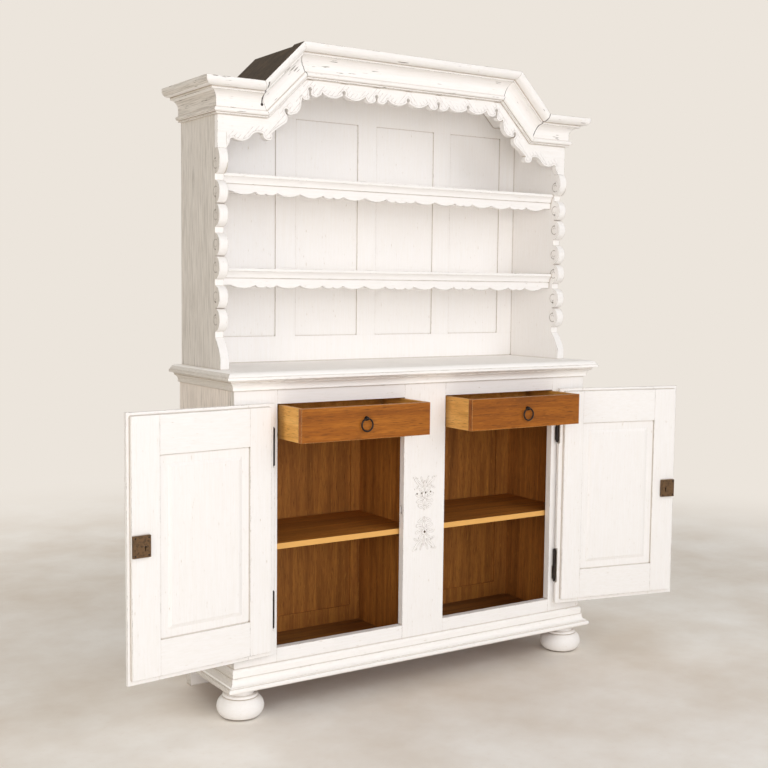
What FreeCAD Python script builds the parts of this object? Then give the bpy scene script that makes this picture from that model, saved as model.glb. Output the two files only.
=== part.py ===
import FreeCAD, Part
import math
import os

# Painted oak hutch: a two-door cupboard on bun feet, with an open shelved rack above it.
# Millimetres. While it is drawn, X runs to the right from the middle of the piece, Y runs back
# from the front face of the lower body, and Z runs up from the floor. The finished pieces are
# moved so that the origin lies on the floor under the middle of the whole footprint.

os.makedirs("parts", exist_ok=True)
Vec = FreeCAD.Vector

# Lower body
body_width = 1389.0
body_depth = 398.0
foot_height = 95.0
base_thickness = 22.0
floor_thickness = 13.0
side_thickness = 38.0
partition_thickness = 40.0
face_thickness = 24.0
outer_stile_width = 145.5
centre_stile_half = 82.0
bottom_rail_height = 89.0
door_opening_height = 756.0
top_rail_height = 70.5
back_face = 370.0
back_thickness = 22.0
back_stile_width = 58.0
back_centre_half = 56.0
back_bottom_rail_height = 67.0
back_top_rail_height = 202.5
panel_thickness = 8.0
panel_tongue = 8.0
panel_play = 0.5
shelf_rise = 395.0
shelf_thickness = 18.0
shelf_front = 30.0
cleat_width = 20.0
cleat_height = 24.0
cleat_inset = 30.0
overrun = 20.0

# Turned feet in front, measured down from the body, and the squared blocks at the back
foot_radius = 73.0
foot_sole_radius = 52.0
foot_belly_drop = 62.0
foot_shoulder_radius = 58.0
foot_shoulder_drop = 33.0
foot_groove_radius = 53.0
foot_groove_drop = 31.0
foot_ring_radius = 55.0
foot_ring_drop = 26.0
foot_ring_top_radius = 49.0
foot_ring_top_drop = 22.0
foot_neck_radius = 41.0
foot_neck_drop = 13.0
foot_top_radius = 44.0
foot_top_drop = 3.0
foot_inset_side = 43.0
foot_inset_front = 44.0
block_foot_width = 70.0
block_foot_depth = 32.0
block_foot_inset = 20.5
dowel_radius = 12.0
dowel_length = 18.0
dowel_play = 0.1

# Base moulding: how far it stands out and how high, from its toe up
base_toe_out = 27.0
base_nose_out = 31.0
base_nose_rise = 7.0
base_nose_end_out = 28.0
base_nose_end_rise = 14.0
base_fillet_out = 25.0
base_fillet_rise = 18.0
base_cove_out = 12.0
base_cove_rise = 37.0
base_step_rise = 40.0
base_bead_out = 9.0
base_bead_rise = 54.0
base_lip_out = 4.0
base_moulding_height = 66.0

# Counter and the moulding under it
counter_thickness = 30.5
counter_nose_out = 38.0
counter_heel_rise = 1.5
counter_fillet_rise = 7.5
counter_nose_rise = 16.5
counter_nose_step = 3.0
counter_flat_out = 12.0
counter_under_out = 20.5
counter_edge_width = 60.0
bed_height = 25.5
bed_step_out = 7.0
bed_step_height = 3.5
bed_cove_out = 20.0
bed_lip_height = 2.5

# Open rack above the counter
hutch_side_inset = 4.5
hutch_side_thickness = 29.5
hutch_back_face = 372.0
hutch_back_thickness = 20.0
hutch_bottom_rail_height = 87.0
hutch_panel_height = 727.0
hutch_stile_half = 38.0
hutch_stile_place_share = 0.4875
hutch_end_stile = 70.5
hutch_panel_thickness = 7.0
hutch_panel_recess = 3.0
lower_shelf_rise = 309.5
upper_shelf_rise = 288.0
rack_shelf_front = 144.0
rack_shelf_thickness = 30.0
rack_shelf_nose = 9.0
rack_shelf_cove = 11.0
shelf_housing = 8.0
apron_setback = 14.0
apron_thickness = 16.0
apron_cusp_drop = 52.0
apron_lobe_drop = 61.5
apron_small_drop = 60.5
apron_notch_drop = 56.0
apron_bay_share = 0.3679
apron_valley_share = 0.1272
apron_middle_share = 0.0621

# Scrolled front edges of the rack's sides
scroll_root = 141.0
scroll_crest = 109.0
scroll_pitch = 159.0
scroll_lip = 20.0
scroll_first_drop = 85.0
scroll_lips = 4
scroll_tail_front = 103.0
scroll_tail_rise = 35.0

# Arched fascia
fascia_front = 122.0
fascia_thickness = 20.0
fascia_foot_rise = 668.0
arch_rise = 209.0
arch_bay_share = 0.3594
notch_radius = 6.3
notch_slit_half = 3.0
slope_notch_radius = 6.5

# Points of the arch, as shares of the rack's half width and of the arch's rise
cusp_rise_share = 0.947
wide_lobe_share = 0.873
valley_rise_share = 0.943
small_lobe_share = 0.863
small_cusp_share = 0.928
wide_lobe_place_share = 0.133
valley_place_share = 0.327
small_lobe_place_share = 0.407
haunch_shares = [
    ((0.4116, 0.873), (0.4754, 0.943)),
    ((0.5043, 0.863), (0.5391, 0.914)),
    ((0.5623, 0.804), (0.5797, 0.833)),
    ((0.5855, 0.732),),
    ((0.6029, 0.608), (0.6319, 0.567)),
    ((0.6464, 0.562), (0.6580, 0.593)),
    ((0.6652, 0.584),),
    ((0.6536, 0.512), (0.6638, 0.435)),
    ((0.6986, 0.359), (0.7362, 0.263)),
    ((0.7319, 0.187), (0.7478, 0.163)),
    ((0.7681, 0.177), (0.7783, 0.249)),
    ((0.8058, 0.263), (0.8319, 0.220)),
    ((0.8783, 0.124), (0.9246, 0.158)),
    ((0.9370, 0.140), (0.9391, 0.096)),
]
slope_notch_shares = (0.6609, 0.617)

# Stepped cornice: how high its top edge stands above the fascia's feet, its step, and the bends
cornice_out = 65.0
cornice_height = 100.0
cornice_low_rise = 201.0
cornice_step = 132.5
cornice_low_bend_share = 0.816
cornice_high_bend_share = 0.6217
cornice_lip_drop = 10.0
cornice_lip_in = 24.0
cornice_lip_low = 25.0
cornice_fillet_in = 28.0
cornice_fillet_low = 33.0
cornice_cove_start_in = 30.0
cornice_cove_in = 55.0
cornice_cove_low = 62.0
cornice_bead_top = 82.0
cornice_bead_out = 9.0
roof_drop = 4.0
roof_thickness = 12.0

# Doors: measured across the leaf from the hinge axis, and inwards from its outer face
hinge_axis_setback = 19.0
hinge_axis_depth = 2.0
leaf_thickness = 22.0
lip_thickness = 11.5
lip_play = 0.5
lip_start = 1.5
lip_overlap = 4.0
lip_overlap_low = 12.0
lip_overlap_high = 5.0
leaf_hinge_play = 0.5
leaf_free_play = 6.0
leaf_play_low = 2.5
leaf_play_high = 5.0
hinge_stile_width = 74.5
lock_stile_width = 88.0
door_bottom_rail = 104.5
door_top_rail = 114.0
door_outer_bevel = 29.0
door_panel_border = 26.0
door_field_bevel = 11.0
door_tongue_front = 10.5
door_tongue_back = 16.5
door_field_front = 5.0
door_field_back = 21.0
left_door_angle = 174.5
right_door_angle = 168.0

# Pin hinges
knuckle_radius = 5.0
knuckle_length = 55.5
knuckle_gap = 0.5
knuckle_tip_radius = 4.2
hinge_low_rise = 67.5
hinge_high_drop = 179.0
pin_radius = 2.5
pin_length = 68.0
pin_play = 0.05
pin_sunk = 30.0
hinge_plate_thickness = 2.0
hinge_plate_reach = 24.0
hinge_plate_margin = 5.0
hinge_notch = 6.5
hinge_notch_margin = 6.0

# Rim locks
lock_setback = 0.5
lock_width = 54.0
lock_rise = 351.5
lock_height = 62.0
lock_depth = 9.0
lock_wall = 1.5
bolt_rise = 19.0
bolt_height = 24.0
bolt_thickness = 5.0
bolt_length = 30.0
bolt_setback = 1.0
bolt_play = 0.5
bolt_throw = 13.0
strike_floor_gap = 8.0
strike_play = 1.5
keyhole_inset = 17.0
keyhole_rise = 30.0
keyhole_radius = 3.5
keyhole_slot = 3.5
keyhole_drop = 12.0
escutcheon_half_width = 12.0
escutcheon_height = 24.0
escutcheon_thickness = 2.0

# Drawers
drawer_side_gap = 3.5
drawer_stile_gap = 1.5
drawer_height = 102.5
drawer_top_gap = 2.5
drawer_depth = 270.0
drawer_front_thickness = 20.0
drawer_side_thickness = 12.0
drawer_floor_thickness = 6.0
drawer_floor_height = 8.0
drawer_groove = 5.0
drawer_shut_face = 95.0
left_drawer_out = 239.5
right_drawer_out = 239.0
runner_height = 20.0
runner_gap = 0.3
runner_reach = 35.0
guide_height = 24.0
guide_gap = 0.6
kicker_height = 22.0

# Ring pulls
ring_radius = 19.5
ring_wire = 2.6
ring_pivot_drop = 38.5
left_ring_shift = 7.0
ring_pivot_out = 7.5
pull_plate_radius = 7.0
pull_plate_thickness = 2.5
pull_post_radius = 3.0
pull_eye_radius = 6.0
pull_eye_hole = 3.6

# Heights and places that follow from the sizes above, from the floor up
base_top = foot_height + base_thickness
floor_top = base_top + floor_thickness
base_nose_height = foot_height + base_nose_rise
base_nose_end = foot_height + base_nose_end_rise
base_fillet_height = foot_height + base_fillet_rise
base_cove_height = foot_height + base_cove_rise
base_step_height = foot_height + base_step_rise
base_bead_height = foot_height + base_bead_rise
base_moulding_top = foot_height + base_moulding_height
opening_bottom = base_top + bottom_rail_height
opening_top = opening_bottom + door_opening_height
counter_underside = opening_top + top_rail_height
back_bottom_rail_top = base_top + back_bottom_rail_height
back_top_rail_bottom = counter_underside - back_top_rail_height
shelf_top = floor_top + shelf_rise
bed_bottom = counter_underside - bed_height
counter_heel_height = counter_underside + counter_heel_rise
counter_fillet_height = counter_underside + counter_fillet_rise
counter_nose_height = counter_underside + counter_nose_rise
counter_top = counter_underside + counter_thickness
lower_shelf_top = counter_top + lower_shelf_rise
upper_shelf_top = lower_shelf_top + upper_shelf_rise
hutch_panel_bottom = counter_top + hutch_bottom_rail_height
hutch_panel_top = hutch_panel_bottom + hutch_panel_height
fascia_foot = counter_top + fascia_foot_rise
scroll_first_lip = fascia_foot - scroll_first_drop
scroll_tail_height = counter_top + scroll_tail_rise
cornice_low_top = fascia_foot + cornice_low_rise
cornice_high_top = cornice_low_top + cornice_step
body_half = body_width / 2
body_inner = body_half - side_thickness
opening_half_span = body_half - outer_stile_width
hinge_axis_x = opening_half_span + hinge_axis_setback
leaf_face = -lip_thickness - lip_play
hinge_axis_y = leaf_face + hinge_axis_depth
leaf_start = hinge_axis_setback + leaf_hinge_play
leaf_end = hinge_axis_x - centre_stile_half - leaf_free_play
lip_end = hinge_axis_x - centre_stile_half + lip_overlap
lip_bottom = opening_bottom - lip_overlap_low
lip_top = opening_top + lip_overlap_high
leaf_bottom = opening_bottom + leaf_play_low
leaf_top = opening_top - leaf_play_high
door_panel_start = leaf_start + hinge_stile_width
door_panel_end = leaf_end - lock_stile_width
door_panel_low = leaf_bottom + door_bottom_rail
door_panel_high = leaf_top - door_top_rail
hinge_levels = (leaf_bottom + hinge_low_rise, leaf_top - hinge_high_drop)
lock_start = leaf_end - lock_setback - lock_width
lock_low = leaf_bottom + lock_rise
bolt_low = lock_low + bolt_rise
bolt_tip = leaf_end - bolt_setback
keyhole_place = lock_start + keyhole_inset
keyhole_height = lock_low + keyhole_rise
drawer_top = opening_top - drawer_top_gap
drawer_bottom = drawer_top - drawer_height
ring_pivot_height = drawer_top - ring_pivot_drop
partition_half = partition_thickness / 2
hutch_half_width = body_half - hutch_side_inset
hutch_inner = hutch_half_width - hutch_side_thickness
hutch_stile_place = hutch_inner * hutch_stile_place_share
apron_bay = hutch_inner * apron_bay_share
apron_valley = hutch_inner * apron_valley_share
apron_middle_lobe = hutch_inner * apron_middle_share
arch_bay = hutch_half_width * arch_bay_share
cornice_low_bend = hutch_half_width * cornice_low_bend_share
cornice_high_bend = hutch_half_width * cornice_high_bend_share
fascia_back = fascia_front + fascia_thickness
hutch_back = hutch_back_face + hutch_back_thickness
roof_under = roof_drop + roof_thickness
slope_angle = math.atan2(cornice_high_top - cornice_low_top, cornice_low_bend - cornice_high_bend)
mitre_slant = math.tan(slope_angle / 2)
drawer_outer = opening_half_span - drawer_side_gap
drawer_inner = centre_stile_half + drawer_stile_gap

pieces = {}


def add(name, *solids):
    """Files one or more solids under a name."""
    pieces.setdefault(name, []).extend(solids)


def board(x0, x1, y0, y1, z0, z1):
    """A squared board between two corners."""
    return Part.makeBox(x1 - x0, y1 - y0, z1 - z0, Vec(x0, y0, z0))


def mirrored(shape):
    """The same piece on the other side of the middle."""
    return shape.mirror(Vec(0, 0, 0), Vec(1, 0, 0))


def pair(shape):
    """A piece and its mirror image."""
    return shape, mirrored(shape)


def face_on(place, start, steps):
    """A face whose edge runs straight to a step of one point, and round through the first of two."""
    edges = []
    here = start
    for step in steps:
        there = step[-1]
        if len(step) == 1:
            edges.append(Part.LineSegment(place(*here), place(*there)).toShape())
        else:
            edges.append(Part.Arc(place(*here), place(*step[0]), place(*there)).toShape())
        here = there
    edges.append(Part.LineSegment(place(*here), place(*start)).toShape())
    return Part.Face(Part.Wire(edges))


def plan(x, y):
    return Vec(x, y, 0)


def front(x, z):
    return Vec(x, 0, z)


def profile(y, z):
    return Vec(0, y, z)


def prism(place, points, start, length):
    """A straight-edged outline drawn out from start over length."""
    face = face_on(place, points[0], [(point,) for point in points[1:]])
    face.translate(start)
    return face.extrude(length)


def moulding(section, half_width, front_y, back_y, inner, low, high):
    """A moulding's front run and its left return, mitred where they meet.

    The section's points are distances out from the front or side face, and heights.
    """
    start, steps = section
    reach = max(point[0] for step in steps for point in step)
    end = half_width + reach
    run = face_on(lambda out, z: profile(front_y - out, z), start, steps)
    run.translate(Vec(-end, 0, 0))
    run = run.extrude(Vec(end + end, 0, 0))
    side = face_on(lambda out, z: front(-half_width - out, z), start, steps)
    side.translate(Vec(0, front_y - reach, 0))
    side = side.extrude(Vec(0, back_y - front_y + reach, 0))
    corner = (-end, front_y - reach)
    heel = (-half_width + inner, front_y + inner)
    mitred_front = prism(plan, [corner, (end, front_y - reach), (half_width - inner, heel[1]), heel],
                         Vec(0, 0, low), Vec(0, 0, high - low))
    mitred_side = prism(plan, [corner, heel, (heel[0], back_y), (-end, back_y)],
                        Vec(0, 0, low), Vec(0, 0, high - low))
    return run.common(mitred_front), side.common(mitred_side)


def bun_foot():
    """One turned foot with its dowel, standing at the origin."""
    steps = [
        ((foot_sole_radius, 0),),
        ((foot_radius, foot_height - foot_belly_drop),
         (foot_shoulder_radius, foot_height - foot_shoulder_drop)),
        ((foot_groove_radius, foot_height - foot_groove_drop),),
        ((foot_ring_radius, foot_height - foot_ring_drop),
         (foot_ring_top_radius, foot_height - foot_ring_top_drop)),
        ((foot_top_radius, foot_height - foot_ring_top_drop),),
        ((foot_neck_radius, foot_height - foot_neck_drop), (foot_top_radius, foot_height - foot_top_drop)),
        ((foot_top_radius, foot_height),),
        ((dowel_radius, foot_height),),
        ((dowel_radius, foot_height + dowel_length),),
        ((0, foot_height + dowel_length),),
    ]
    half = face_on(front, (0, 0), steps)
    return half.revolve(Vec(0, 0, 0), Vec(0, 0, 1), 360)


def base():
    """Feet, base board, floor and the moulding round the foot of the body."""
    board_solid = board(-body_half, body_half, 0, body_depth, foot_height, base_top)
    foot = bun_foot()
    foot_x = body_half - foot_inset_side
    for x in (-foot_x, foot_x):
        placed = foot.copy()
        placed.translate(Vec(x, foot_inset_front, 0))
        add("bun_feet", placed)
        hole = Part.makeCylinder(dowel_radius + dowel_play, dowel_length + panel_play,
                                 Vec(x, foot_inset_front, foot_height))
        board_solid = board_solid.cut(hole)
    add("base_board", board_solid)
    block_end = -body_half + block_foot_inset
    block = board(block_end, block_end + block_foot_width, body_depth - block_foot_depth, body_depth,
                  0, foot_height)
    add("block_feet", *pair(block))
    add("floor_board", board(-body_inner, body_inner, face_thickness, back_face, base_top, floor_top))
    cove_mid = ((base_cove_out * 3 + base_fillet_out) / 4, (base_cove_height + base_fillet_height * 3) / 4)
    bead_mid = (base_bead_out, (base_bead_height + base_moulding_top) / 2)
    section = ((0, foot_height), [
        ((base_toe_out, foot_height),),
        ((base_nose_out, base_nose_height), (base_nose_end_out, base_nose_end)),
        ((base_fillet_out, base_nose_end),),
        ((base_fillet_out, base_fillet_height),),
        (cove_mid, (base_cove_out, base_cove_height)),
        ((base_cove_out, base_step_height),),
        ((base_bead_out, base_step_height),),
        ((base_bead_out, base_bead_height),),
        (bead_mid, (base_lip_out, base_moulding_top)),
        ((0, base_moulding_top),),
    ])
    run, side = moulding(section, body_half, 0, body_depth, 0, foot_height, base_moulding_top)
    add("base_moulding", run, *pair(side))


def strike_slot():
    """The mortise in the middle stile that the left lock's bolt enters."""
    bolt_front = leaf_face + leaf_thickness + (lock_depth - bolt_thickness) / 2
    slot_end = -hinge_axis_x + bolt_tip + bolt_throw + strike_floor_gap
    return board(-centre_stile_half - overrun, slot_end,
                 bolt_front - strike_play, bolt_front + bolt_thickness + strike_play,
                 bolt_low - strike_play, bolt_low + bolt_height + strike_play)


def hinge_plate_span(level):
    """Lowest and highest points of the frame half's plate at one hinge."""
    return level + hinge_plate_margin, level + knuckle_length - hinge_plate_margin


def body():
    """Sides, partition, face frame, framed back and the compartments' shelves."""
    side = board(-body_half, -body_inner, face_thickness, body_depth, base_top, counter_underside)
    left, right = pair(side)
    add("body_side_left", left)
    add("body_side_right", right)
    add("partition", board(-partition_half, partition_half, face_thickness, back_face,
                           floor_top, counter_underside))

    stile = board(-body_half, -opening_half_span, 0, face_thickness, base_top, counter_underside)
    half_plate = hinge_plate_thickness / 2
    for level in hinge_levels:
        low, high = hinge_plate_span(level)
        stile = stile.cut(board(-hinge_axis_x - half_plate, -hinge_axis_x + half_plate,
                                -overrun, hinge_axis_y + hinge_plate_reach, low, high))
    add("outer_stiles", *pair(stile))
    middle = board(-centre_stile_half, centre_stile_half, 0, face_thickness,
                   base_top, counter_underside)
    for slot in pair(strike_slot()):
        middle = middle.cut(slot)
    add("centre_stile", middle)
    for low, high, name in ((base_top, opening_bottom, "bottom_rails"),
                            (opening_top, counter_underside, "top_rails")):
        rail = board(-opening_half_span, -centre_stile_half, 0, face_thickness, low, high)
        add(name, *pair(rail))

    back_end = back_face + back_thickness
    stile_x = body_inner - back_stile_width
    back_stile = board(-body_inner, -stile_x, back_face, back_end, base_top, counter_underside)
    back_centre = board(-back_centre_half, back_centre_half, back_face, back_end,
                        base_top, counter_underside)
    rails = [board(-stile_x, -back_centre_half, back_face, back_end, low, high)
             for low, high in ((base_top, back_bottom_rail_top), (back_top_rail_bottom, counter_underside))]
    tongue_y = back_face + (back_thickness - panel_thickness) / 2
    groove = board(-stile_x - panel_tongue - panel_play, -back_centre_half + panel_tongue + panel_play,
                   tongue_y, tongue_y + panel_thickness,
                   back_bottom_rail_top - panel_tongue - panel_play,
                   back_top_rail_bottom + panel_tongue + panel_play)
    panel = board(-stile_x - panel_tongue, -back_centre_half + panel_tongue,
                  tongue_y, tongue_y + panel_thickness,
                  back_bottom_rail_top - panel_tongue, back_top_rail_bottom + panel_tongue)
    add("body_back_frame", *pair(back_stile.cut(groove)))
    add("body_back_frame", back_centre.cut(groove).cut(mirrored(groove)))
    for rail in rails:
        add("body_back_frame", *pair(rail.cut(groove)))
    add("body_back_panels", *pair(panel))

    add("compartment_shelves", *pair(board(-body_inner, -partition_half, shelf_front, back_face,
                                           shelf_top - shelf_thickness, shelf_top)))
    cleat_top = shelf_top - shelf_thickness
    for start in (-body_inner, -partition_half - cleat_width):
        add("shelf_cleats", *pair(board(start, start + cleat_width, shelf_front + cleat_inset, back_face,
                                        cleat_top - cleat_height, cleat_top)))


def runners():
    """Runners under the drawers' sides, with their guides, and the kickers above them."""
    runner_top = drawer_bottom - runner_gap
    outer_end = -drawer_outer + drawer_side_thickness
    inner_end = -drawer_inner - drawer_side_thickness
    far_end = -drawer_outer - runner_reach
    spans = ((far_end, outer_end, far_end, -drawer_outer - guide_gap),
             (inner_end, -partition_half, -drawer_inner + guide_gap, -partition_half))
    for low_x, high_x, guide_low, guide_high in spans:
        runner = board(low_x, high_x, face_thickness, back_face, runner_top - runner_height, runner_top)
        guide = board(guide_low, guide_high, face_thickness, back_face,
                      runner_top, runner_top + guide_height)
        add("drawer_runners", *pair(runner.fuse(guide).removeSplitter()))
        kicker = board(low_x, high_x, face_thickness, back_face, opening_top, opening_top + kicker_height)
        add("drawer_kickers", *pair(kicker))


def counter():
    """The counter with its mitred moulded edge, and the bed moulding under it."""
    edge_inner = counter_edge_width - counter_nose_out
    ovolo_out = counter_nose_out - counter_nose_step
    ovolo_mid = ((ovolo_out * 7 + counter_flat_out * 3) / 10,
                 (counter_nose_height * 3 + counter_top * 7) / 10)
    heel_mid = ((counter_under_out * 7 + counter_nose_out * 3) / 10,
                (counter_heel_height * 3 + counter_fillet_height * 7) / 10)
    section = ((-edge_inner, counter_underside), [
        ((counter_under_out, counter_underside),),
        ((counter_under_out, counter_heel_height),),
        (heel_mid, (counter_nose_out, counter_fillet_height)),
        ((counter_nose_out, counter_nose_height),),
        ((ovolo_out, counter_nose_height),),
        (ovolo_mid, (counter_flat_out, counter_top)),
        ((-edge_inner, counter_top),),
    ])
    run, side = moulding(section, body_half, 0, body_depth, edge_inner, counter_underside, counter_top)
    add("counter_edge", run, *pair(side))
    inner_x = body_half - edge_inner
    add("counter_board", board(-inner_x, inner_x, edge_inner, body_depth, counter_underside, counter_top))
    bed_step_top = bed_bottom + bed_step_height
    bed_lip_low = counter_underside - bed_lip_height
    bed_mid = ((bed_step_out * 7 + bed_cove_out * 3) / 10, (bed_step_top * 3 + bed_lip_low * 7) / 10)
    bed = ((0, bed_bottom), [
        ((bed_step_out, bed_bottom),),
        ((bed_step_out, bed_step_top),),
        (bed_mid, (bed_cove_out, bed_lip_low)),
        ((bed_cove_out, counter_underside),),
        ((0, counter_underside),),
    ])
    run, side = moulding(bed, body_half, 0, body_depth, 0, bed_bottom, counter_underside)
    add("bed_moulding", run, *pair(side))


def scroll_steps():
    """The scrolled front edge of a rack side, from the fascia's foot down to the counter."""
    half_lip = scroll_lip / 2
    steps = []
    start_height = fascia_foot
    for count in range(scroll_lips):
        lip = scroll_first_lip - scroll_pitch * count
        cusp = lip - scroll_pitch / 2
        lip_top, lip_low = lip + half_lip, lip - half_lip
        steps.append(((scroll_crest, (start_height + lip_top) / 2), (scroll_root, lip_top)))
        steps.append(((scroll_root, lip_low),))
        if count < scroll_lips - 1:
            steps.append(((scroll_crest, (lip_low + cusp) / 2), (scroll_root, cusp)))
        start_height = cusp
    tail_mid = ((scroll_root + scroll_tail_front) / 2 - knuckle_radius, (lip_low + scroll_tail_height) / 2)
    steps.append((tail_mid, (scroll_tail_front, scroll_tail_height)))
    steps.append(((scroll_tail_front, counter_top),))
    return steps


def shelf_section(top):
    """A rack shelf's section: a square nose over a hollow."""
    nose = top - rack_shelf_nose
    under = top - rack_shelf_thickness
    hollow = (rack_shelf_front + rack_shelf_cove * 2 / 3, (nose + nose + under) / 3)
    return (rack_shelf_front, top), [
        ((rack_shelf_front, nose),),
        (hollow, (rack_shelf_front + rack_shelf_cove, under)),
        ((hutch_back_face, under),),
        ((hutch_back_face, top),),
    ]


def apron_half_steps(top):
    """The apron's lower edge from the middle out to its right end."""
    cusp, lobe = top - apron_cusp_drop, top - apron_lobe_drop
    small, notch = top - apron_small_drop, top - apron_notch_drop
    valley = top - apron_cusp_drop
    half_bay = apron_bay / 2
    half_middle = apron_middle_lobe / 2
    steps = [((half_middle * 2 / 3, small), (half_middle, notch))]
    place = half_middle
    for bay in range(3):
        motif_out = place + half_bay - apron_valley
        steps.append((((place + motif_out) / 2, small), (motif_out, valley)))
        cusp_place = place + half_bay
        steps.append(((cusp_place - apron_valley * 2 / 5, lobe), (cusp_place, cusp)))
        if bay == 2:
            break
        steps.append(((cusp_place + apron_valley * 2 / 5, lobe), (cusp_place + apron_valley, valley)))
        place = cusp_place + half_bay
        steps.append((((cusp_place + apron_valley + place) / 2, small), (place, notch)))
    steps.append(((hutch_inner, cusp),))
    return steps


def mirror_steps(start, steps):
    """An outline's steps read backwards on the other side of the middle."""
    points = [start] + [step[-1] for step in steps]
    back = []
    for index in range(len(steps) - 1, -1, -1):
        step = steps[index]
        end = (-points[index][0], points[index][1])
        back.append(((-step[0][0], step[0][1]), end) if len(step) == 2 else (end,))
    return back


def apron(top):
    """A scalloped apron under one rack shelf."""
    under = top - rack_shelf_thickness
    middle = (0, top - apron_small_drop)
    half = apron_half_steps(top)
    steps = mirror_steps(middle, half) + half + [((hutch_inner, under),)]
    face = face_on(front, (-hutch_inner, under), [((-hutch_inner, top - apron_cusp_drop),)] + steps)
    face.translate(Vec(0, rack_shelf_front + apron_setback, 0))
    return face.extrude(Vec(0, apron_thickness, 0))


def bend(place, height, drop):
    """A bend of the cornice's left half, moved square to the runs by drop."""
    return -place + drop * mitre_slant, height - drop


def stepped_top(drop):
    """The stepped top line from left to right, a drop below the cornice's top edge."""
    left = [(-hutch_half_width, cornice_low_top - drop),
            bend(cornice_low_bend, cornice_low_top, drop),
            bend(cornice_high_bend, cornice_high_top, drop)]
    return left + [(-x, z) for x, z in reversed(left)]


def rack():
    """Scrolled sides, framed back, shelves and aprons above the counter."""
    side_top = cornice_low_top - roof_under
    steps = [((fascia_back, fascia_foot),), ((fascia_front, fascia_foot),)] + scroll_steps()
    steps += [((hutch_back, counter_top),), ((hutch_back, side_top),)]
    side_face = face_on(profile, (fascia_back, side_top), steps)
    side_face.translate(Vec(-hutch_half_width, 0, 0))
    side = side_face.extrude(Vec(hutch_side_thickness, 0, 0))
    for top, level in ((lower_shelf_top, "lower"), (upper_shelf_top, "upper")):
        start, shelf_steps = shelf_section(top)
        shelf = face_on(profile, start, shelf_steps)
        end = hutch_inner + shelf_housing
        shelf.translate(Vec(-end, 0, 0))
        shelf = shelf.extrude(Vec(end + end, 0, 0))
        side = side.cut(shelf)
        add("hutch_shelf_" + level, shelf)
        add("apron_" + level, apron(top))
    left, right = pair(side)
    add("hutch_side_left", left)
    add("hutch_side_right", right)

    back_y = Vec(0, hutch_back_face, 0)
    depth = Vec(0, hutch_back_thickness, 0)
    outline = [(x if abs(x) < hutch_half_width else math.copysign(hutch_inner, x), z)
               for x, z in stepped_top(roof_under)]
    top_rail = prism(front, [(-hutch_inner, hutch_panel_top)] + outline + [(hutch_inner, hutch_panel_top)],
                     back_y, depth)
    bottom_rail = board(-hutch_inner, hutch_inner, hutch_back_face, hutch_back,
                        counter_top, hutch_panel_bottom)
    spans = [(hutch_stile_half, hutch_stile_place - hutch_stile_half),
             (hutch_stile_place + hutch_stile_half, hutch_inner - hutch_end_stile)]
    tongue_y = hutch_back_face + hutch_panel_recess
    grooves = []
    for start, end in spans:
        groove = board(start - panel_tongue - panel_play, end + panel_tongue + panel_play,
                       tongue_y, tongue_y + hutch_panel_thickness,
                       hutch_panel_bottom - panel_tongue - panel_play,
                       hutch_panel_top + panel_tongue + panel_play)
        grooves += pair(groove)
        add("hutch_back_panels", *pair(board(start - panel_tongue, end + panel_tongue,
                                             tongue_y, tongue_y + hutch_panel_thickness,
                                             hutch_panel_bottom - panel_tongue,
                                             hutch_panel_top + panel_tongue)))
    stiles = [board(-hutch_stile_half, hutch_stile_half, hutch_back_face, hutch_back,
                    hutch_panel_bottom, hutch_panel_top)]
    stile_spans = ((hutch_stile_place - hutch_stile_half, hutch_stile_place + hutch_stile_half),
                   (hutch_inner - hutch_end_stile, hutch_inner))
    for start, end in stile_spans:
        stiles += pair(board(start, end, hutch_back_face, hutch_back, hutch_panel_bottom, hutch_panel_top))
    for member in [top_rail, bottom_rail] + stiles:
        for groove in grooves:
            member = member.cut(groove)
        add("hutch_back_frame", member)


def arch_point(shares):
    """A point of the arch from its shares."""
    return hutch_half_width * shares[0], fascia_foot + arch_rise * shares[1]


def arch_half_steps():
    """The fascia's lower edge from the middle cusp out to its right foot."""
    half_bay = arch_bay / 2
    levels = [fascia_foot + arch_rise * share for share in
              (cusp_rise_share, wide_lobe_share, valley_rise_share, small_lobe_share, small_cusp_share)]
    cusp, wide, valley, small, small_cusp = levels
    wide_x = arch_bay * wide_lobe_place_share
    valley_x = arch_bay * valley_place_share
    small_x = arch_bay * small_lobe_place_share
    steps = [
        ((wide_x, wide), (valley_x, valley)),
        ((small_x, small), (half_bay, small_cusp)),
        ((arch_bay - small_x, small), (arch_bay - valley_x, valley)),
        ((arch_bay - wide_x, wide), (arch_bay, cusp)),
    ]
    for step in haunch_shares:
        steps.append(tuple(arch_point(shares) for shares in step))
    steps.append(((hutch_inner, fascia_foot),))
    return steps


def notch(x, height, radius):
    """A round-headed notch up from the fascia's lower edge."""
    return Part.makeCylinder(radius, fascia_thickness + overrun,
                             Vec(x, fascia_front - overrun / 2, height - radius), Vec(0, 1, 0))


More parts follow.
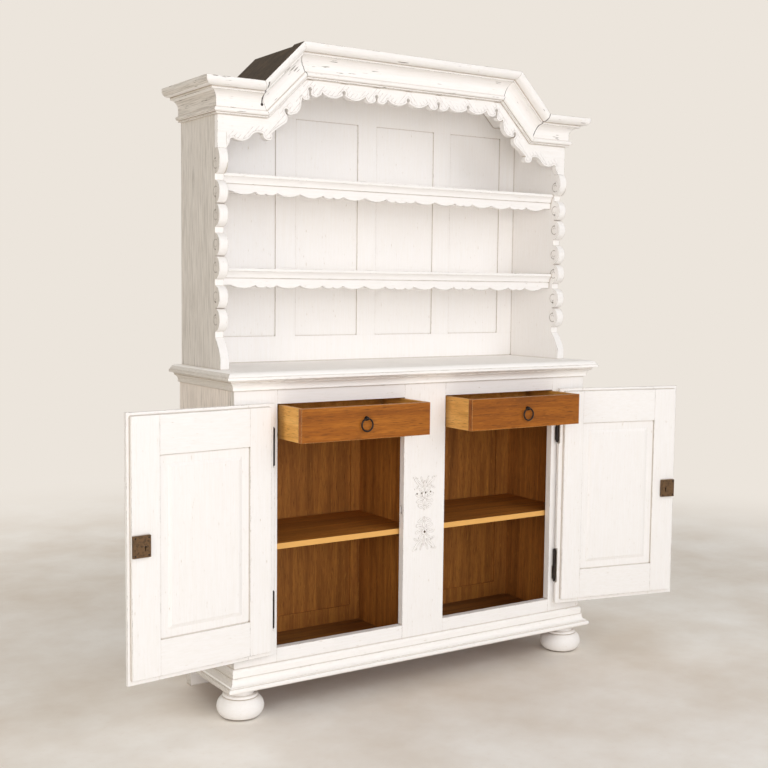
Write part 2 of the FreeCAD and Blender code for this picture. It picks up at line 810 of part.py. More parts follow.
def fascia():
    """The arched and scalloped board under the cornice."""
    start = (0, fascia_foot + arch_rise * cusp_rise_share)
    half = arch_half_steps()
    steps = mirror_steps(start, half) + half + [((hutch_half_width, fascia_foot),)]
    steps += [(point,) for point in reversed(stepped_top(roof_under))]
    face = face_on(front, (-hutch_half_width, fascia_foot), [((-hutch_inner, fascia_foot),)] + steps)
    face.translate(Vec(0, fascia_front, 0))
    solid = face.extrude(Vec(0, fascia_thickness, 0))
    notch_top = fascia_foot + arch_rise
    for count in (-1, 0, 1):
        solid = solid.cut(notch(arch_bay * count, notch_top, notch_radius))
    for share in (1, 3):
        x = arch_bay * share / 2
        slit = notch(x, notch_top, notch_radius)
        slit = slit.fuse(board(x - notch_slit_half, x + notch_slit_half, fascia_front - overrun / 2,
                               fascia_back + overrun / 2, fascia_foot + arch_rise * small_lobe_share,
                               notch_top - notch_radius))
        for tool in pair(slit):
            solid = solid.cut(tool)
    x, z = arch_point(slope_notch_shares)
    for tool in pair(notch(x, z + slope_notch_radius, slope_notch_radius)):
        solid = solid.cut(tool)
    add("arch_fascia", solid)


def cornice_section():
    """The cornice's section: distances out from the fascia, and heights below its top edge."""
    cove_mid = (cornice_out - (cornice_cove_start_in + cornice_cove_in * 3) / 4,
                -(cornice_fillet_low + (cornice_cove_low - cornice_fillet_low) / 3))
    bead_low = cornice_height - (cornice_height - cornice_bead_top) / 3
    lip_mid = (cornice_out - cornice_lip_in / 4,
               -(cornice_lip_drop + (cornice_lip_low - cornice_lip_drop) * 2 / 3))
    return (0, 0), [
        ((cornice_out, 0),),
        ((cornice_out, -cornice_lip_drop),),
        (lip_mid, (cornice_out - cornice_lip_in, -cornice_lip_low)),
        ((cornice_out - cornice_fillet_in, -cornice_lip_low),),
        ((cornice_out - cornice_fillet_in, -cornice_fillet_low),),
        ((cornice_out - cornice_cove_start_in, -cornice_fillet_low),),
        (cove_mid, (cornice_out - cornice_cove_in, -cornice_cove_low)),
        ((cornice_out - cornice_cove_in, -cornice_bead_top),),
        ((cornice_out - cornice_cove_in + cornice_bead_out, -(cornice_bead_top + bead_low) / 2),
         (cornice_out - cornice_cove_in, -bead_low)),
        ((cornice_out - cornice_cove_in, -cornice_height),),
        ((0, -cornice_height),),
    ]


def cornice():
    """Returns, flats, slopes and crest of the stepped cornice, and the roof boards behind it."""
    start, steps = cornice_section()
    raised = ((start[0], cornice_low_top + start[1]),
              [tuple((out, cornice_low_top + z) for out, z in step) for step in steps])
    run, side = moulding(raised, hutch_half_width, fascia_front, hutch_back, 0,
                         cornice_low_top - cornice_height, cornice_low_top)
    add("cornice_returns", *pair(side))
    top_line, low_line = stepped_top(0), stepped_top(cornice_height)
    through = Vec(0, fascia_front + cornice_out, 0)
    origin_y = Vec(0, -cornice_out, 0)
    end = hutch_half_width + cornice_out
    flat_prism = prism(front, [(-end, cornice_low_top), top_line[1], low_line[1], (-end, low_line[0][1])],
                       origin_y, through + through)
    add("cornice_flats", *pair(run.common(flat_prism)))

    rise = cornice_high_top - cornice_low_top
    slope_length = math.hypot(rise, cornice_low_bend - cornice_high_bend)
    margin = cornice_height
    for name, length, angle, corner, corners in (
            ("cornice_slopes", slope_length, slope_angle, top_line[1], (1, 2)),
            ("cornice_crest", cornice_high_bend * 2, 0, top_line[2], (2, 3))):
        face = face_on(lambda out, z: profile(fascia_front - out, z), start, steps)
        face.translate(Vec(-margin, 0, 0))
        solid = face.extrude(Vec(length + margin * 2, 0, 0))
        solid.rotate(Vec(0, 0, 0), Vec(0, 1, 0), -math.degrees(angle))
        solid.translate(Vec(corner[0], 0, corner[1]))
        first, last = corners
        quad = [top_line[first], top_line[last], low_line[last], low_line[first]]
        solid = solid.common(prism(front, quad, origin_y, through + through))
        add(name, *(pair(solid) if angle else [solid]))

    upper, lower = stepped_top(roof_drop), stepped_top(roof_under)
    for first in range(len(upper) - 1):
        quad = [upper[first], upper[first + 1], lower[first + 1], lower[first]]
        add("roof_boards", prism(front, quad, Vec(0, fascia_front, 0),
                                 Vec(0, hutch_back - fascia_front, 0)))


def leaf(start, end, outer, inner, low, high):
    """A board of the shut left door, by its distances from the hinge axis and the outer face."""
    return board(-hinge_axis_x + start, -hinge_axis_x + end,
                 leaf_face + outer, leaf_face + inner, low, high)


def rebated(lip, inner):
    """A member of the door: its lip and the rebated part behind, each by start, end, low and high."""
    front_part = leaf(lip[0], lip[1], 0, lip_thickness, lip[2], lip[3])
    back_part = leaf(inner[0], inner[1], lip_thickness, leaf_thickness, inner[2], inner[3])
    return front_part.fuse(back_part).removeSplitter()


def keyhole(depth_start, depth_end):
    """A keyhole through the left door between two depths."""
    x = -hinge_axis_x + keyhole_place
    head = Part.makeCylinder(keyhole_radius, depth_end - depth_start,
                             Vec(x, leaf_face + depth_start, keyhole_height), Vec(0, 1, 0))
    half_slot = keyhole_slot / 2
    slot = leaf(keyhole_place - half_slot, keyhole_place + half_slot, depth_start, depth_end,
                keyhole_height - keyhole_drop, keyhole_height)
    return head.fuse(slot)


def knuckle(low, tip_at_top):
    """One half of a hinge's barrel, with its ball tip."""
    centre = Vec(-hinge_axis_x, hinge_axis_y, low)
    barrel = Part.makeCylinder(knuckle_radius, knuckle_length, centre)
    tip_height = low + knuckle_length if tip_at_top else low
    return barrel.fuse(Part.makeSphere(knuckle_tip_radius, Vec(-hinge_axis_x, hinge_axis_y, tip_height)))


def shut_left_door():
    """Every piece of the left door, shut."""
    half_plate = hinge_plate_thickness / 2
    plate_front, plate_back = hinge_axis_depth - half_plate, hinge_axis_depth + half_plate
    hinge_stile = rebated((lip_start, door_panel_start, lip_bottom, lip_top),
                          (leaf_start, door_panel_start, leaf_bottom, leaf_top))
    lock_stile = rebated((door_panel_end, lip_end, lip_bottom, lip_top),
                         (door_panel_end, leaf_end, leaf_bottom, leaf_top))
    rails = [rebated((door_panel_start, door_panel_end, lip_bottom, door_panel_low),
                     (door_panel_start, door_panel_end, leaf_bottom, door_panel_low)),
             rebated((door_panel_start, door_panel_end, door_panel_high, lip_top),
                     (door_panel_start, door_panel_end, door_panel_high, leaf_top))]
    reach = panel_tongue + panel_play
    groove = leaf(door_panel_start - reach, door_panel_end + reach, door_tongue_front, door_tongue_back,
                  door_panel_low - reach, door_panel_high + reach)
    hinge_leaves = []
    for level in hinge_levels:
        door_half = level + knuckle_length + knuckle_gap
        low, high = hinge_plate_span(door_half)
        hinge_stile = hinge_stile.cut(leaf(0, hinge_notch, -overrun, leaf_thickness + overrun,
                                           level - hinge_notch_margin,
                                           door_half + knuckle_length + hinge_notch_margin))
        plate = leaf(0, hinge_plate_reach, plate_front, plate_back, low, high)
        hinge_stile = hinge_stile.cut(plate)
        bore = Part.makeCylinder(pin_radius + pin_play, pin_length - pin_sunk + pin_play,
                                 Vec(-hinge_axis_x, hinge_axis_y, level + knuckle_length))
        hinge_leaves.append(knuckle(door_half, True).fuse(plate).cut(bore))
    hinge_stile = hinge_stile.cut(groove)
    lock_stile = lock_stile.cut(groove).cut(keyhole(-overrun, leaf_thickness + overrun))

    panel = leaf(door_panel_start - panel_tongue, door_panel_end + panel_tongue,
                 door_tongue_front, door_tongue_back,
                 door_panel_low - panel_tongue, door_panel_high + panel_tongue)
    x0, x1 = -hinge_axis_x + door_panel_start, -hinge_axis_x + door_panel_end
    z0, z1 = door_panel_low, door_panel_high
    border, bevel = door_panel_border, door_field_bevel
    inset = border + bevel
    raised = Part.makeWedge(x0 + border, leaf_face + door_tongue_back, z0 + border, z0 + inset, x0 + inset,
                            x1 - border, leaf_face + door_field_back, z1 - border, z1 - inset, x1 - inset)
    bevel = door_outer_bevel
    sunk = Part.makeWedge(x0 + bevel, leaf_face + door_field_front, z0 + bevel, z0, x0,
                          x1 - bevel, leaf_face + door_tongue_front, z1 - bevel, z1, x1)
    panel = panel.fuse(raised).fuse(sunk).removeSplitter()

    case = leaf(lock_start, lock_start + lock_width, leaf_thickness, leaf_thickness + lock_depth,
                lock_low, lock_low + lock_height)
    bolt_front = leaf_thickness + (lock_depth - bolt_thickness) / 2
    bolt = leaf(bolt_tip - bolt_length, bolt_tip, bolt_front, bolt_front + bolt_thickness,
                bolt_low, bolt_low + bolt_height)
    channel = leaf(bolt_tip - bolt_length - lock_wall, lock_start + lock_width + overrun,
                   bolt_front - bolt_play, bolt_front + bolt_thickness + bolt_play,
                   bolt_low - bolt_play, bolt_low + bolt_height + bolt_play)
    case = case.cut(channel).cut(keyhole(0, leaf_thickness + lock_depth + overrun))

    plate_x = -hinge_axis_x + keyhole_place
    plate_y = leaf_face - escutcheon_thickness
    middle = keyhole_height - keyhole_drop / 2
    half_height = escutcheon_height / 2
    escutcheon = leaf(keyhole_place - escutcheon_half_width, keyhole_place + escutcheon_half_width,
                      -escutcheon_thickness, 0, middle - half_height, middle + half_height)
    for height in (middle - half_height, middle + half_height):
        escutcheon = escutcheon.fuse(Part.makeCylinder(escutcheon_half_width, escutcheon_thickness,
                                                       Vec(plate_x, plate_y, height), Vec(0, 1, 0)))
    escutcheon = escutcheon.removeSplitter().cut(keyhole(-escutcheon_thickness, 0))
    return {
        "door_stiles": [hinge_stile, lock_stile],
        "door_rails": [rail.cut(groove) for rail in rails],
        "door_panel": [panel],
        "hinge_leaves": hinge_leaves,
        "lock_case": [case],
        "escutcheon": [escutcheon],
        "lock_bolt": [bolt],
    }


def doors():
    """Both doors, swung open on their pins, and the hinge halves on the frame."""
    shut = shut_left_door()
    for name, solids in shut.items():
        for solid in solids:
            right = mirrored(solid)
            left = solid.copy()
            left.rotate(Vec(-hinge_axis_x, hinge_axis_y, 0), Vec(0, 0, 1), -left_door_angle)
            right.rotate(Vec(hinge_axis_x, hinge_axis_y, 0), Vec(0, 0, 1), right_door_angle)
            add("left_" + name, left)
            add("right_" + name, right)
    half_plate = hinge_plate_thickness / 2
    for level in hinge_levels:
        low, high = hinge_plate_span(level)
        plate = board(-hinge_axis_x - half_plate, -hinge_axis_x + half_plate,
                      hinge_axis_y, hinge_axis_y + hinge_plate_reach, low, high)
        pin_low = level + knuckle_length - pin_sunk
        pin = Part.makeCylinder(pin_radius, pin_length, Vec(-hinge_axis_x, hinge_axis_y, pin_low))
        frame_half = knuckle(level, False).fuse(plate).cut(pin)
        add("hinge_frame_leaves", *pair(frame_half))
        add("hinge_pins", *pair(pin))


def drawer(name, out, side, ring_shift):
    """One drawer with its ring pull, drawn out; side is -1 for the left one and 1 for the right."""
    face_y = drawer_shut_face
    box_y = face_y + drawer_front_thickness
    end_y = face_y + drawer_depth
    x0, x1 = sorted((side * drawer_outer, side * drawer_inner))
    wall = drawer_side_thickness
    floor_low = drawer_bottom + drawer_floor_height
    floor_high = floor_low + drawer_floor_thickness
    front_board = board(x0, x1, face_y, box_y, drawer_bottom, drawer_top)
    sides = [board(x0, x0 + wall, box_y, end_y, drawer_bottom, drawer_top),
             board(x1 - wall, x1, box_y, end_y, drawer_bottom, drawer_top)]
    back = board(x0 + wall, x1 - wall, end_y - wall, end_y, floor_high, drawer_top)
    bottom = board(x0 + wall - drawer_groove, x1 - wall + drawer_groove, box_y - drawer_groove, end_y,
                   floor_low, floor_high)
    front_board = front_board.cut(bottom)
    box_boards = [wall_board.cut(bottom) for wall_board in sides] + [back, bottom]
    eye = Vec((x0 + x1) / 2 - ring_shift, face_y - ring_pivot_out, ring_pivot_height)
    plate = Part.makeCylinder(pull_plate_radius, pull_plate_thickness,
                              Vec(eye.x, face_y - pull_plate_thickness, eye.z), Vec(0, 1, 0))
    post = Part.makeCylinder(pull_post_radius, ring_pivot_out, eye, Vec(0, 1, 0))
    hole = Part.makeCylinder(pull_eye_hole, pull_eye_radius * 2 + overrun,
                             eye - Vec(pull_eye_radius + overrun / 2, 0, 0), Vec(1, 0, 0))
    pull = plate.fuse(post).fuse(Part.makeSphere(pull_eye_radius, eye)).cut(hole)
    ring = Part.makeTorus(ring_radius, ring_wire, eye - Vec(0, 0, ring_radius), Vec(0, 1, 0))
    groups = {"drawer_front": [front_board], "drawer_box": box_boards,
              "pull_post": [pull], "pull_ring": [ring]}
    for part_name, solids in groups.items():
        for solid in solids:
            solid.translate(Vec(0, -out, 0))
            add(name + part_name, solid)


base()
body()
runners()
counter()
rack()
fascia()
cornice()
doors()
drawer("left_", left_drawer_out, -1, left_ring_shift)
drawer("right_", right_drawer_out, 1, 0)

# The origin goes to the floor under the middle of the whole footprint
every_solid = [solid for solids in pieces.values() for solid in solids]
footprint = Part.makeCompound(every_solid).optimalBoundingBox(False)
shift = Vec(-(footprint.XMin + footprint.XMax) / 2, -(footprint.YMin + footprint.YMax) / 2, 0)
print("origin shift", shift.x, shift.y, "height", footprint.ZMax, "low", footprint.ZMin)

for name, solids in pieces.items():
    for solid in solids:
        solid.translate(shift)
    whole = solids[0] if len(solids) == 1 else Part.makeCompound(solids)
    bodies = whole.Solids
    print(name, len(bodies), round(sum(body_solid.Volume for body_solid in bodies)), whole.isValid())
    whole.exportStep("parts/" + name + ".step")
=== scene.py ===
"""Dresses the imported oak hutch: rubbed chalk paint, dry and waxed oak, old iron, carving and light."""
import logging
import math
from collections.abc import Callable
from dataclasses import dataclass
from enum import Enum
from functools import cache

import bmesh
import bpy
import numpy as np
from mathutils import Matrix, Vector


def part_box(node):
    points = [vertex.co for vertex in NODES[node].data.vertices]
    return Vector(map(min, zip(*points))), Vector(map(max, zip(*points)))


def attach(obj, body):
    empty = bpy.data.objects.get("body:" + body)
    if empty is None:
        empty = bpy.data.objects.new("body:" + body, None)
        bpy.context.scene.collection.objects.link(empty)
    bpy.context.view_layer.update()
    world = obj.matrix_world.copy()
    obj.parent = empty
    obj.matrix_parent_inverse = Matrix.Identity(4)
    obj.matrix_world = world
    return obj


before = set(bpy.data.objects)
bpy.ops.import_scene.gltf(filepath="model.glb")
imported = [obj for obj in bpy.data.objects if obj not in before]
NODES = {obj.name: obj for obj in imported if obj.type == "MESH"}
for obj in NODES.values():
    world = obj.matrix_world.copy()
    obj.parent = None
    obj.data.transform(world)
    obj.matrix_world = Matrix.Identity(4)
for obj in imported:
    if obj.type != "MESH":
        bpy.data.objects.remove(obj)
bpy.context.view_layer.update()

LOG = logging.getLogger("hutch")
MM = 0.001
Material = bpy.types.Material
Socket = bpy.types.NodeSocket
Tree = bpy.types.NodeTree
Colour = tuple[float, float, float, float]
Carve = Callable[[float, float], tuple[float, float]]
# What a carving gives where it leaves the face alone: a height below the face, and no gouge
UNCUT = (-1.0, 0.0)
# Pattern cells along the grain for each one across it
ALONG = 0.05


class Run(Enum):
    """Which way the grain or the brush ran, as the share of a pattern's fineness kept on X, Y and Z.

    SLOPE's last share only keeps it from being the same member as ACROSS.
    """

    UP = (1.0, 1.0, ALONG)
    ACROSS = (ALONG, 1.0, 1.0)
    BACK = (1.0, ALONG, 1.0)
    SLOPE = (ALONG, 1.0, 1.001)
    ROUND = (0.6, 0.6, 1.0)

    def shares(self, along: float) -> tuple[float, ...]:
        """The same with another share along the run."""
        return tuple(along if share == ALONG else share for share in self.value)


class Bare(Enum):
    """Which faces of a painted node the brush never reached."""

    NOWHERE = "nowhere"
    TOP = "top faces"
    REAR = "rear faces"
    INSIDE = "the faces inside the carcass"
    OVERHEAD = "all but the undersides"


def colour(code: str) -> Colour:
    """Turns an sRGB hex value into linear light.

    Args:
        code: six hex digits.

    Returns:
        Red, green, blue and an alpha of 1.
    """
    channels = [int(code[i:i + 2], 16) / 255 for i in (0, 2, 4)]
    lin = [c / 12.92 if c <= 0.04045 else ((c + 0.055) / 1.055) ** 2.4 for c in channels]
    return lin[0], lin[1], lin[2], 1.0


def add_node(tree: Tree, kind: str, inputs: dict | None = None, **settings: str | int) -> bpy.types.Node:
    """Adds one node to a tree.

    Args:
        tree: the node tree.
        kind: the node's type.
        inputs: socket name or number to a value, or to the socket that feeds it.
        settings: the node's own properties.

    Returns:
        The new node.
    """
    node = tree.nodes.new(kind)
    for name, value in settings.items():
        setattr(node, name, value)
    for key, value in (inputs or {}).items():
        if isinstance(value, Socket):
            tree.links.new(value, node.inputs[key])
        else:
            node.inputs[key].default_value = value
    return node


def blank_material(name: str) -> tuple[Material, Tree, bpy.types.Node]:
    """Makes a material with only its output.

    Args:
        name: the material's name.

    Returns:
        The material, its tree and its output node.
    """
    material = bpy.data.materials.new(name)
    material.use_nodes = True
    material.node_tree.nodes.clear()
    output = add_node(material.node_tree, "ShaderNodeOutputMaterial")
    return material, material.node_tree, output


def body_front() -> Vector:
    """The point on the floor under the middle of the body's front face."""
    low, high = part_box("base_board")
    return Vector(((low.x + high.x) / 2, low.y, 0.0))


def noise(tree: Tree, vector: Socket, scale: float, detail: float, roughness: float = 0.6) -> Socket:
    """A noise pattern's value over a vector."""
    return add_node(tree, "ShaderNodeTexNoise", {
        "Vector": vector, "Scale": scale, "Detail": detail, "Roughness": roughness}).outputs["Fac"]


def spread(tree: Tree, value: Socket, low: float, high: float, start: float = 0.0,
           end: float = 1.0) -> Socket:
    """Stretches the part of a value between low and high to start and end, and holds it outside."""
    return add_node(tree, "ShaderNodeMapRange", {
        "Value": value, "From Min": low, "From Max": high, "To Min": start, "To Max": end}).outputs["Result"]


def sums(tree: Tree, operation: str, *values: Socket | float) -> Socket:
    """One step of arithmetic."""
    return add_node(tree, "ShaderNodeMath", dict(enumerate(values)), operation=operation).outputs[0]


def blend(tree: Tree, share: Socket | float, first: Socket | str, second: Socket | str) -> Socket:
    """Mixes two colours, each a socket or a hex value."""
    pair = [colour(value) if isinstance(value, str) else value for value in (first, second)]
    return add_node(tree, "ShaderNodeMix", {0: share, 6: pair[0], 7: pair[1]}, data_type="RGBA").outputs[2]


def object_place(tree: Tree) -> Socket:
    """The point's own place on the object."""
    return add_node(tree, "ShaderNodeTexCoord").outputs["Object"]


def between(tree: Tree, share: Socket, first: Socket, second: Socket | float) -> Socket:
    """Mixes two numbers."""
    return add_node(tree, "ShaderNodeMix", {0: share, 2: first, 3: second}, data_type="FLOAT").outputs[0]


def facing(tree: Tree, axis: str) -> Socket:
    """How squarely the flat face looks along an axis, from -1 to 1."""
    flat = add_node(tree, "ShaderNodeNewGeometry").outputs["True Normal"]
    return add_node(tree, "ShaderNodeSeparateXYZ", {0: flat}).outputs[axis]


def open_air(tree: Tree, reach: float, samples: int) -> Socket:
    """1 in the open, less where other faces close in within reach."""
    return add_node(tree, "ShaderNodeAmbientOcclusion", {"Distance": reach}, samples=samples).outputs["AO"]


def soft_edge(tree: Tree, radius: float, samples: int) -> Socket:
    """The normal with arrises rounded in the shading."""
    return add_node(tree, "ShaderNodeBevel", {"Radius": radius}, samples=samples).outputs["Normal"]


def flatness(tree: Tree, softened: Socket) -> Socket:
    """1 on the flat, less at an arris or a crease, where the softened normal leans from the real one."""
    face = add_node(tree, "ShaderNodeNewGeometry").outputs["Normal"]
    return add_node(tree, "ShaderNodeVectorMath", {0: softened, 1: face},
                    operation="DOT_PRODUCT").outputs["Value"]


def bumped(tree: Tree, strength: float, distance: float, height: Socket, softened: Socket) -> Socket:
    """The softened normal tilted by a pattern's height."""
    return add_node(tree, "ShaderNodeBump", {
        "Strength": strength, "Distance": distance, "Height": height, "Normal": softened}).outputs["Normal"]


def surface(tree: Tree, output: bpy.types.Node, inputs: dict) -> None:
    """Gives a material its surface, from what feeds the shader's sockets."""
    shader = add_node(tree, "ShaderNodeBsdfPrincipled", inputs)
    tree.links.new(shader.outputs["BSDF"], output.inputs["Surface"])


def beside_front(tree: Tree) -> tuple[Socket, Socket, Socket]:
    """A point's place seen from the middle of the body's front.

    Args:
        tree: the material's tree.

    Returns:
        How far it lies to the right, how far back, and how high.
    """
    place = add_node(tree, "ShaderNodeSeparateXYZ", {0: object_place(tree)}).outputs
    front = body_front()
    right = sums(tree, "SUBTRACT", place["X"], front.x)
    return right, sums(tree, "SUBTRACT", place["Y"], front.y), place["Z"]


def along_slope(tree: Tree, place: Socket, slope_degrees: float = 44.68) -> Socket:
    """Turns a place so that its X runs down the cornice's slopes, the same way on both sides.

    Args:
        tree: the material's tree.
        place: the object's own place.
        slope_degrees: how steeply the slopes fall.

    Returns:
        The turned vector.
    """
    split = add_node(tree, "ShaderNodeSeparateXYZ", {0: place}).outputs
    aside = sums(tree, "ABSOLUTE", sums(tree, "SUBTRACT", split["X"], body_front().x))
    cosine, sine = math.cos(math.radians(slope_degrees)), math.sin(math.radians(slope_degrees))
    down = sums(tree, "MULTIPLY_ADD", aside, cosine, sums(tree, "MULTIPLY", split["Z"], -sine))
    out = sums(tree, "MULTIPLY_ADD", aside, sine, sums(tree, "MULTIPLY", split["Z"], cosine))
    return add_node(tree, "ShaderNodeCombineXYZ", {0: down, 1: split["Y"], 2: out}).outputs[0]


def drawn_out(tree: Tree, run: Run, per_metre: float, along: float = ALONG) -> Socket:
    """Object coordinates drawn out along the grain.

    Args:
        tree: the material's tree.
        run: the way the grain runs.
        per_metre: pattern cells in a metre across the grain.
        along: how many cells there are along the grain for each one across it.

    Returns:
        The vector socket.
    """
    place = object_place(tree)
    if run is Run.SLOPE:
        place = along_slope(tree, place)
    scale = tuple(share * per_metre for share in run.shares(along))
    return add_node(tree, "ShaderNodeMapping", {"Vector": place, "Scale": scale}).outputs["Vector"]


@dataclass(frozen=True)
class Oak:
    """Sawn and planed oak: straight open grain with dark pores and pale flecks, bare or waxed."""

    name: str
    run: Run
    light: str = "C08034"
    middle: str = "A26626"
    dark: str = "784817"
    pore: str = "43270C"
    rubbed: str = "E2A652"
    weathered: str = "5C4C3D"
    rubbed_share: float = 0.5
    front_wear_and_light: float = 0.0
    weathered_behind: float = 0.0
    # Painted shade: how far the wood is darkened towards the pore colour where other faces close in, and
    # within what reach
    painted_shade_inside: float = 0.0
    painted_shade_reach: float = 60 * MM
    roughness: float = 0.62
    edge: float = 1.6 * MM
    # Growth rings are bands about 30 mm wide, fibres 4 mm and open pores 1.7 mm, coarse enough to show
    board_per_metre: float = 34.0
    fibre_per_metre: float = 300.0
    pore_per_metre: float = 600.0
    fleck_per_metre: float = 130.0
    fleck_along: float = 0.22

    def pattern(self, tree: Tree) -> tuple[Socket, Socket]:
        """The wood's colour and the height of its fibres.

        Args:
            tree: the material's tree.

        Returns:
            The colour socket and the height socket.
        """
        figure = add_node(tree, "ShaderNodeTexNoise", {
            "Vector": drawn_out(tree, self.run, self.board_per_metre), "Scale": 1.0, "Detail": 5.0,
            "Roughness": 0.62, "Distortion": 0.5}).outputs["Fac"]
        fibres = noise(tree, drawn_out(tree, self.run, self.fibre_per_metre), 1.0, 5.0, 0.65)
        pores = noise(tree, drawn_out(tree, self.run, self.pore_per_metre), 1.0, 2.0, 0.5)
        flecks = noise(tree, drawn_out(tree, self.run, self.fleck_per_metre, self.fleck_along), 1.0, 2.0, 0.5)
        ramp = add_node(tree, "ShaderNodeValToRGB", {"Fac": figure})
        stops = ramp.color_ramp.elements
        stops[0].position, stops[0].color = 0.28, colour(self.dark)
        stops[1].position, stops[1].color = 0.72, colour(self.light)
        stops.new(0.5).color = colour(self.middle)
        wood = blend(tree, spread(tree, fibres, 0.40, 0.66, 0.0, 0.55), ramp.outputs["Color"], self.dark)
        wood = blend(tree, spread(tree, flecks, 0.60, 0.72, 0.0, 0.35), wood, self.light)
        pore_mask = spread(tree, pores, 0.60, 0.70, 0.0, 0.6)
        wood = blend(tree, pore_mask, wood, self.pore)
        return wood, sums(tree, "MULTIPLY_ADD", pore_mask, -1.0, fibres)

    def material(self) -> Material:
        """Builds the wood.

        Returns:
            The material.
        """
        material, tree, output = blank_material(self.name)
        wood, height = self.pattern(tree)
        softened = soft_edge(tree, self.edge, 4)
        handled = spread(tree, flatness(tree, softened), 0.99, 0.82, 0.0, self.rubbed_share)
        wood = blend(tree, handled, wood, self.rubbed)
        # Wear and painted light: faces that look to the front are made paler
        if self.front_wear_and_light:
            front = spread(tree, facing(tree, "Y"), -0.5, -0.9, 0.0, self.front_wear_and_light)
            wood = blend(tree, front, wood, self.rubbed)
        if self.weathered_behind:
            grey = spread(tree, facing(tree, "Y"), 0.5, 0.9, 0.0, self.weathered_behind)
            wood = blend(tree, grey, wood, self.weathered)
        # Painted shade: darker towards the pore colour where other faces close in
        if self.painted_shade_inside:
            shaded_inside = spread(tree, open_air(tree, self.painted_shade_reach, 6), 0.93, 0.62, 0.0, self.painted_shade_inside)
            wood = blend(tree, shaded_inside, wood, self.pore)
        surface(tree, output, {
            "Base Color": wood, "Normal": bumped(tree, 0.3, 0.25 * MM, height, softened),
            "Roughness": spread(tree, height, -0.2, 0.8, self.roughness + 0.1, self.roughness - 0.06),
            "Specular IOR Level": 0.3})
        return material


@dataclass(frozen=True)
class Crack:
    """An open joint that shows dark through the paint, in millimetres: where it runs and how it leans."""

    across: float
    low: float
    high: float
    lean: float = 0.0
    half_width: float = 0.9
    hole: float = 0.0
    sway: float = 6.0

    def mask(self, tree: Tree, signed: Socket, height: Socket, wobble: Socket) -> Socket:
        """Where the joint and its nail hole show.

        Args:
            tree: the material's tree.
            signed: how far a point lies to the right of the middle.
            height: how high it lies.
            wobble: the noise that bends the line.

        Returns:
            A socket that is 1 in the joint.
        """
        foot = self.across * MM - self.lean * self.low * MM
        centre = sums(tree, "MULTIPLY_ADD", height, self.lean, foot)
        centre = sums(tree, "SUBTRACT", centre, self.sway / 2 * MM)
        centre = sums(tree, "MULTIPLY_ADD", wobble, self.sway * MM, centre)
        gap = sums(tree, "ABSOLUTE", sums(tree, "SUBTRACT", signed, centre))
        line = spread(tree, gap, self.half_width * MM, self.half_width * 2.2 * MM, 1.0, 0.0)
        above = sums(tree, "GREATER_THAN", height, self.low * MM)
        below = sums(tree, "LESS_THAN", height, self.high * MM)
        mark = sums(tree, "MULTIPLY", line, sums(tree, "MULTIPLY", above, below))
        if self.hole:
            rise = sums(tree, "SUBTRACT", height, self.low * MM)
            squares = sums(tree, "MULTIPLY_ADD", gap, gap, sums(tree, "MULTIPLY", rise, rise))
            holed = sums(tree, "LESS_THAN", sums(tree, "SQRT", squares), self.hole * MM)
            mark = sums(tree, "MAXIMUM", mark, holed)
        return mark


@dataclass(frozen=True)
class TopLine:
    """The stepped line along the rack's top, in millimetres: low at the sides, raised over the middle."""

    low: float
    step: float = 132.5
    low_bend: float = 563.0
    high_bend: float = 429.0

    def at(self, x: float) -> float:
        """Its height at a distance from the middle."""
        share = min(1.0, max(0.0, (self.low_bend - x) / (self.low_bend - self.high_bend)))
        return self.low + self.step * share


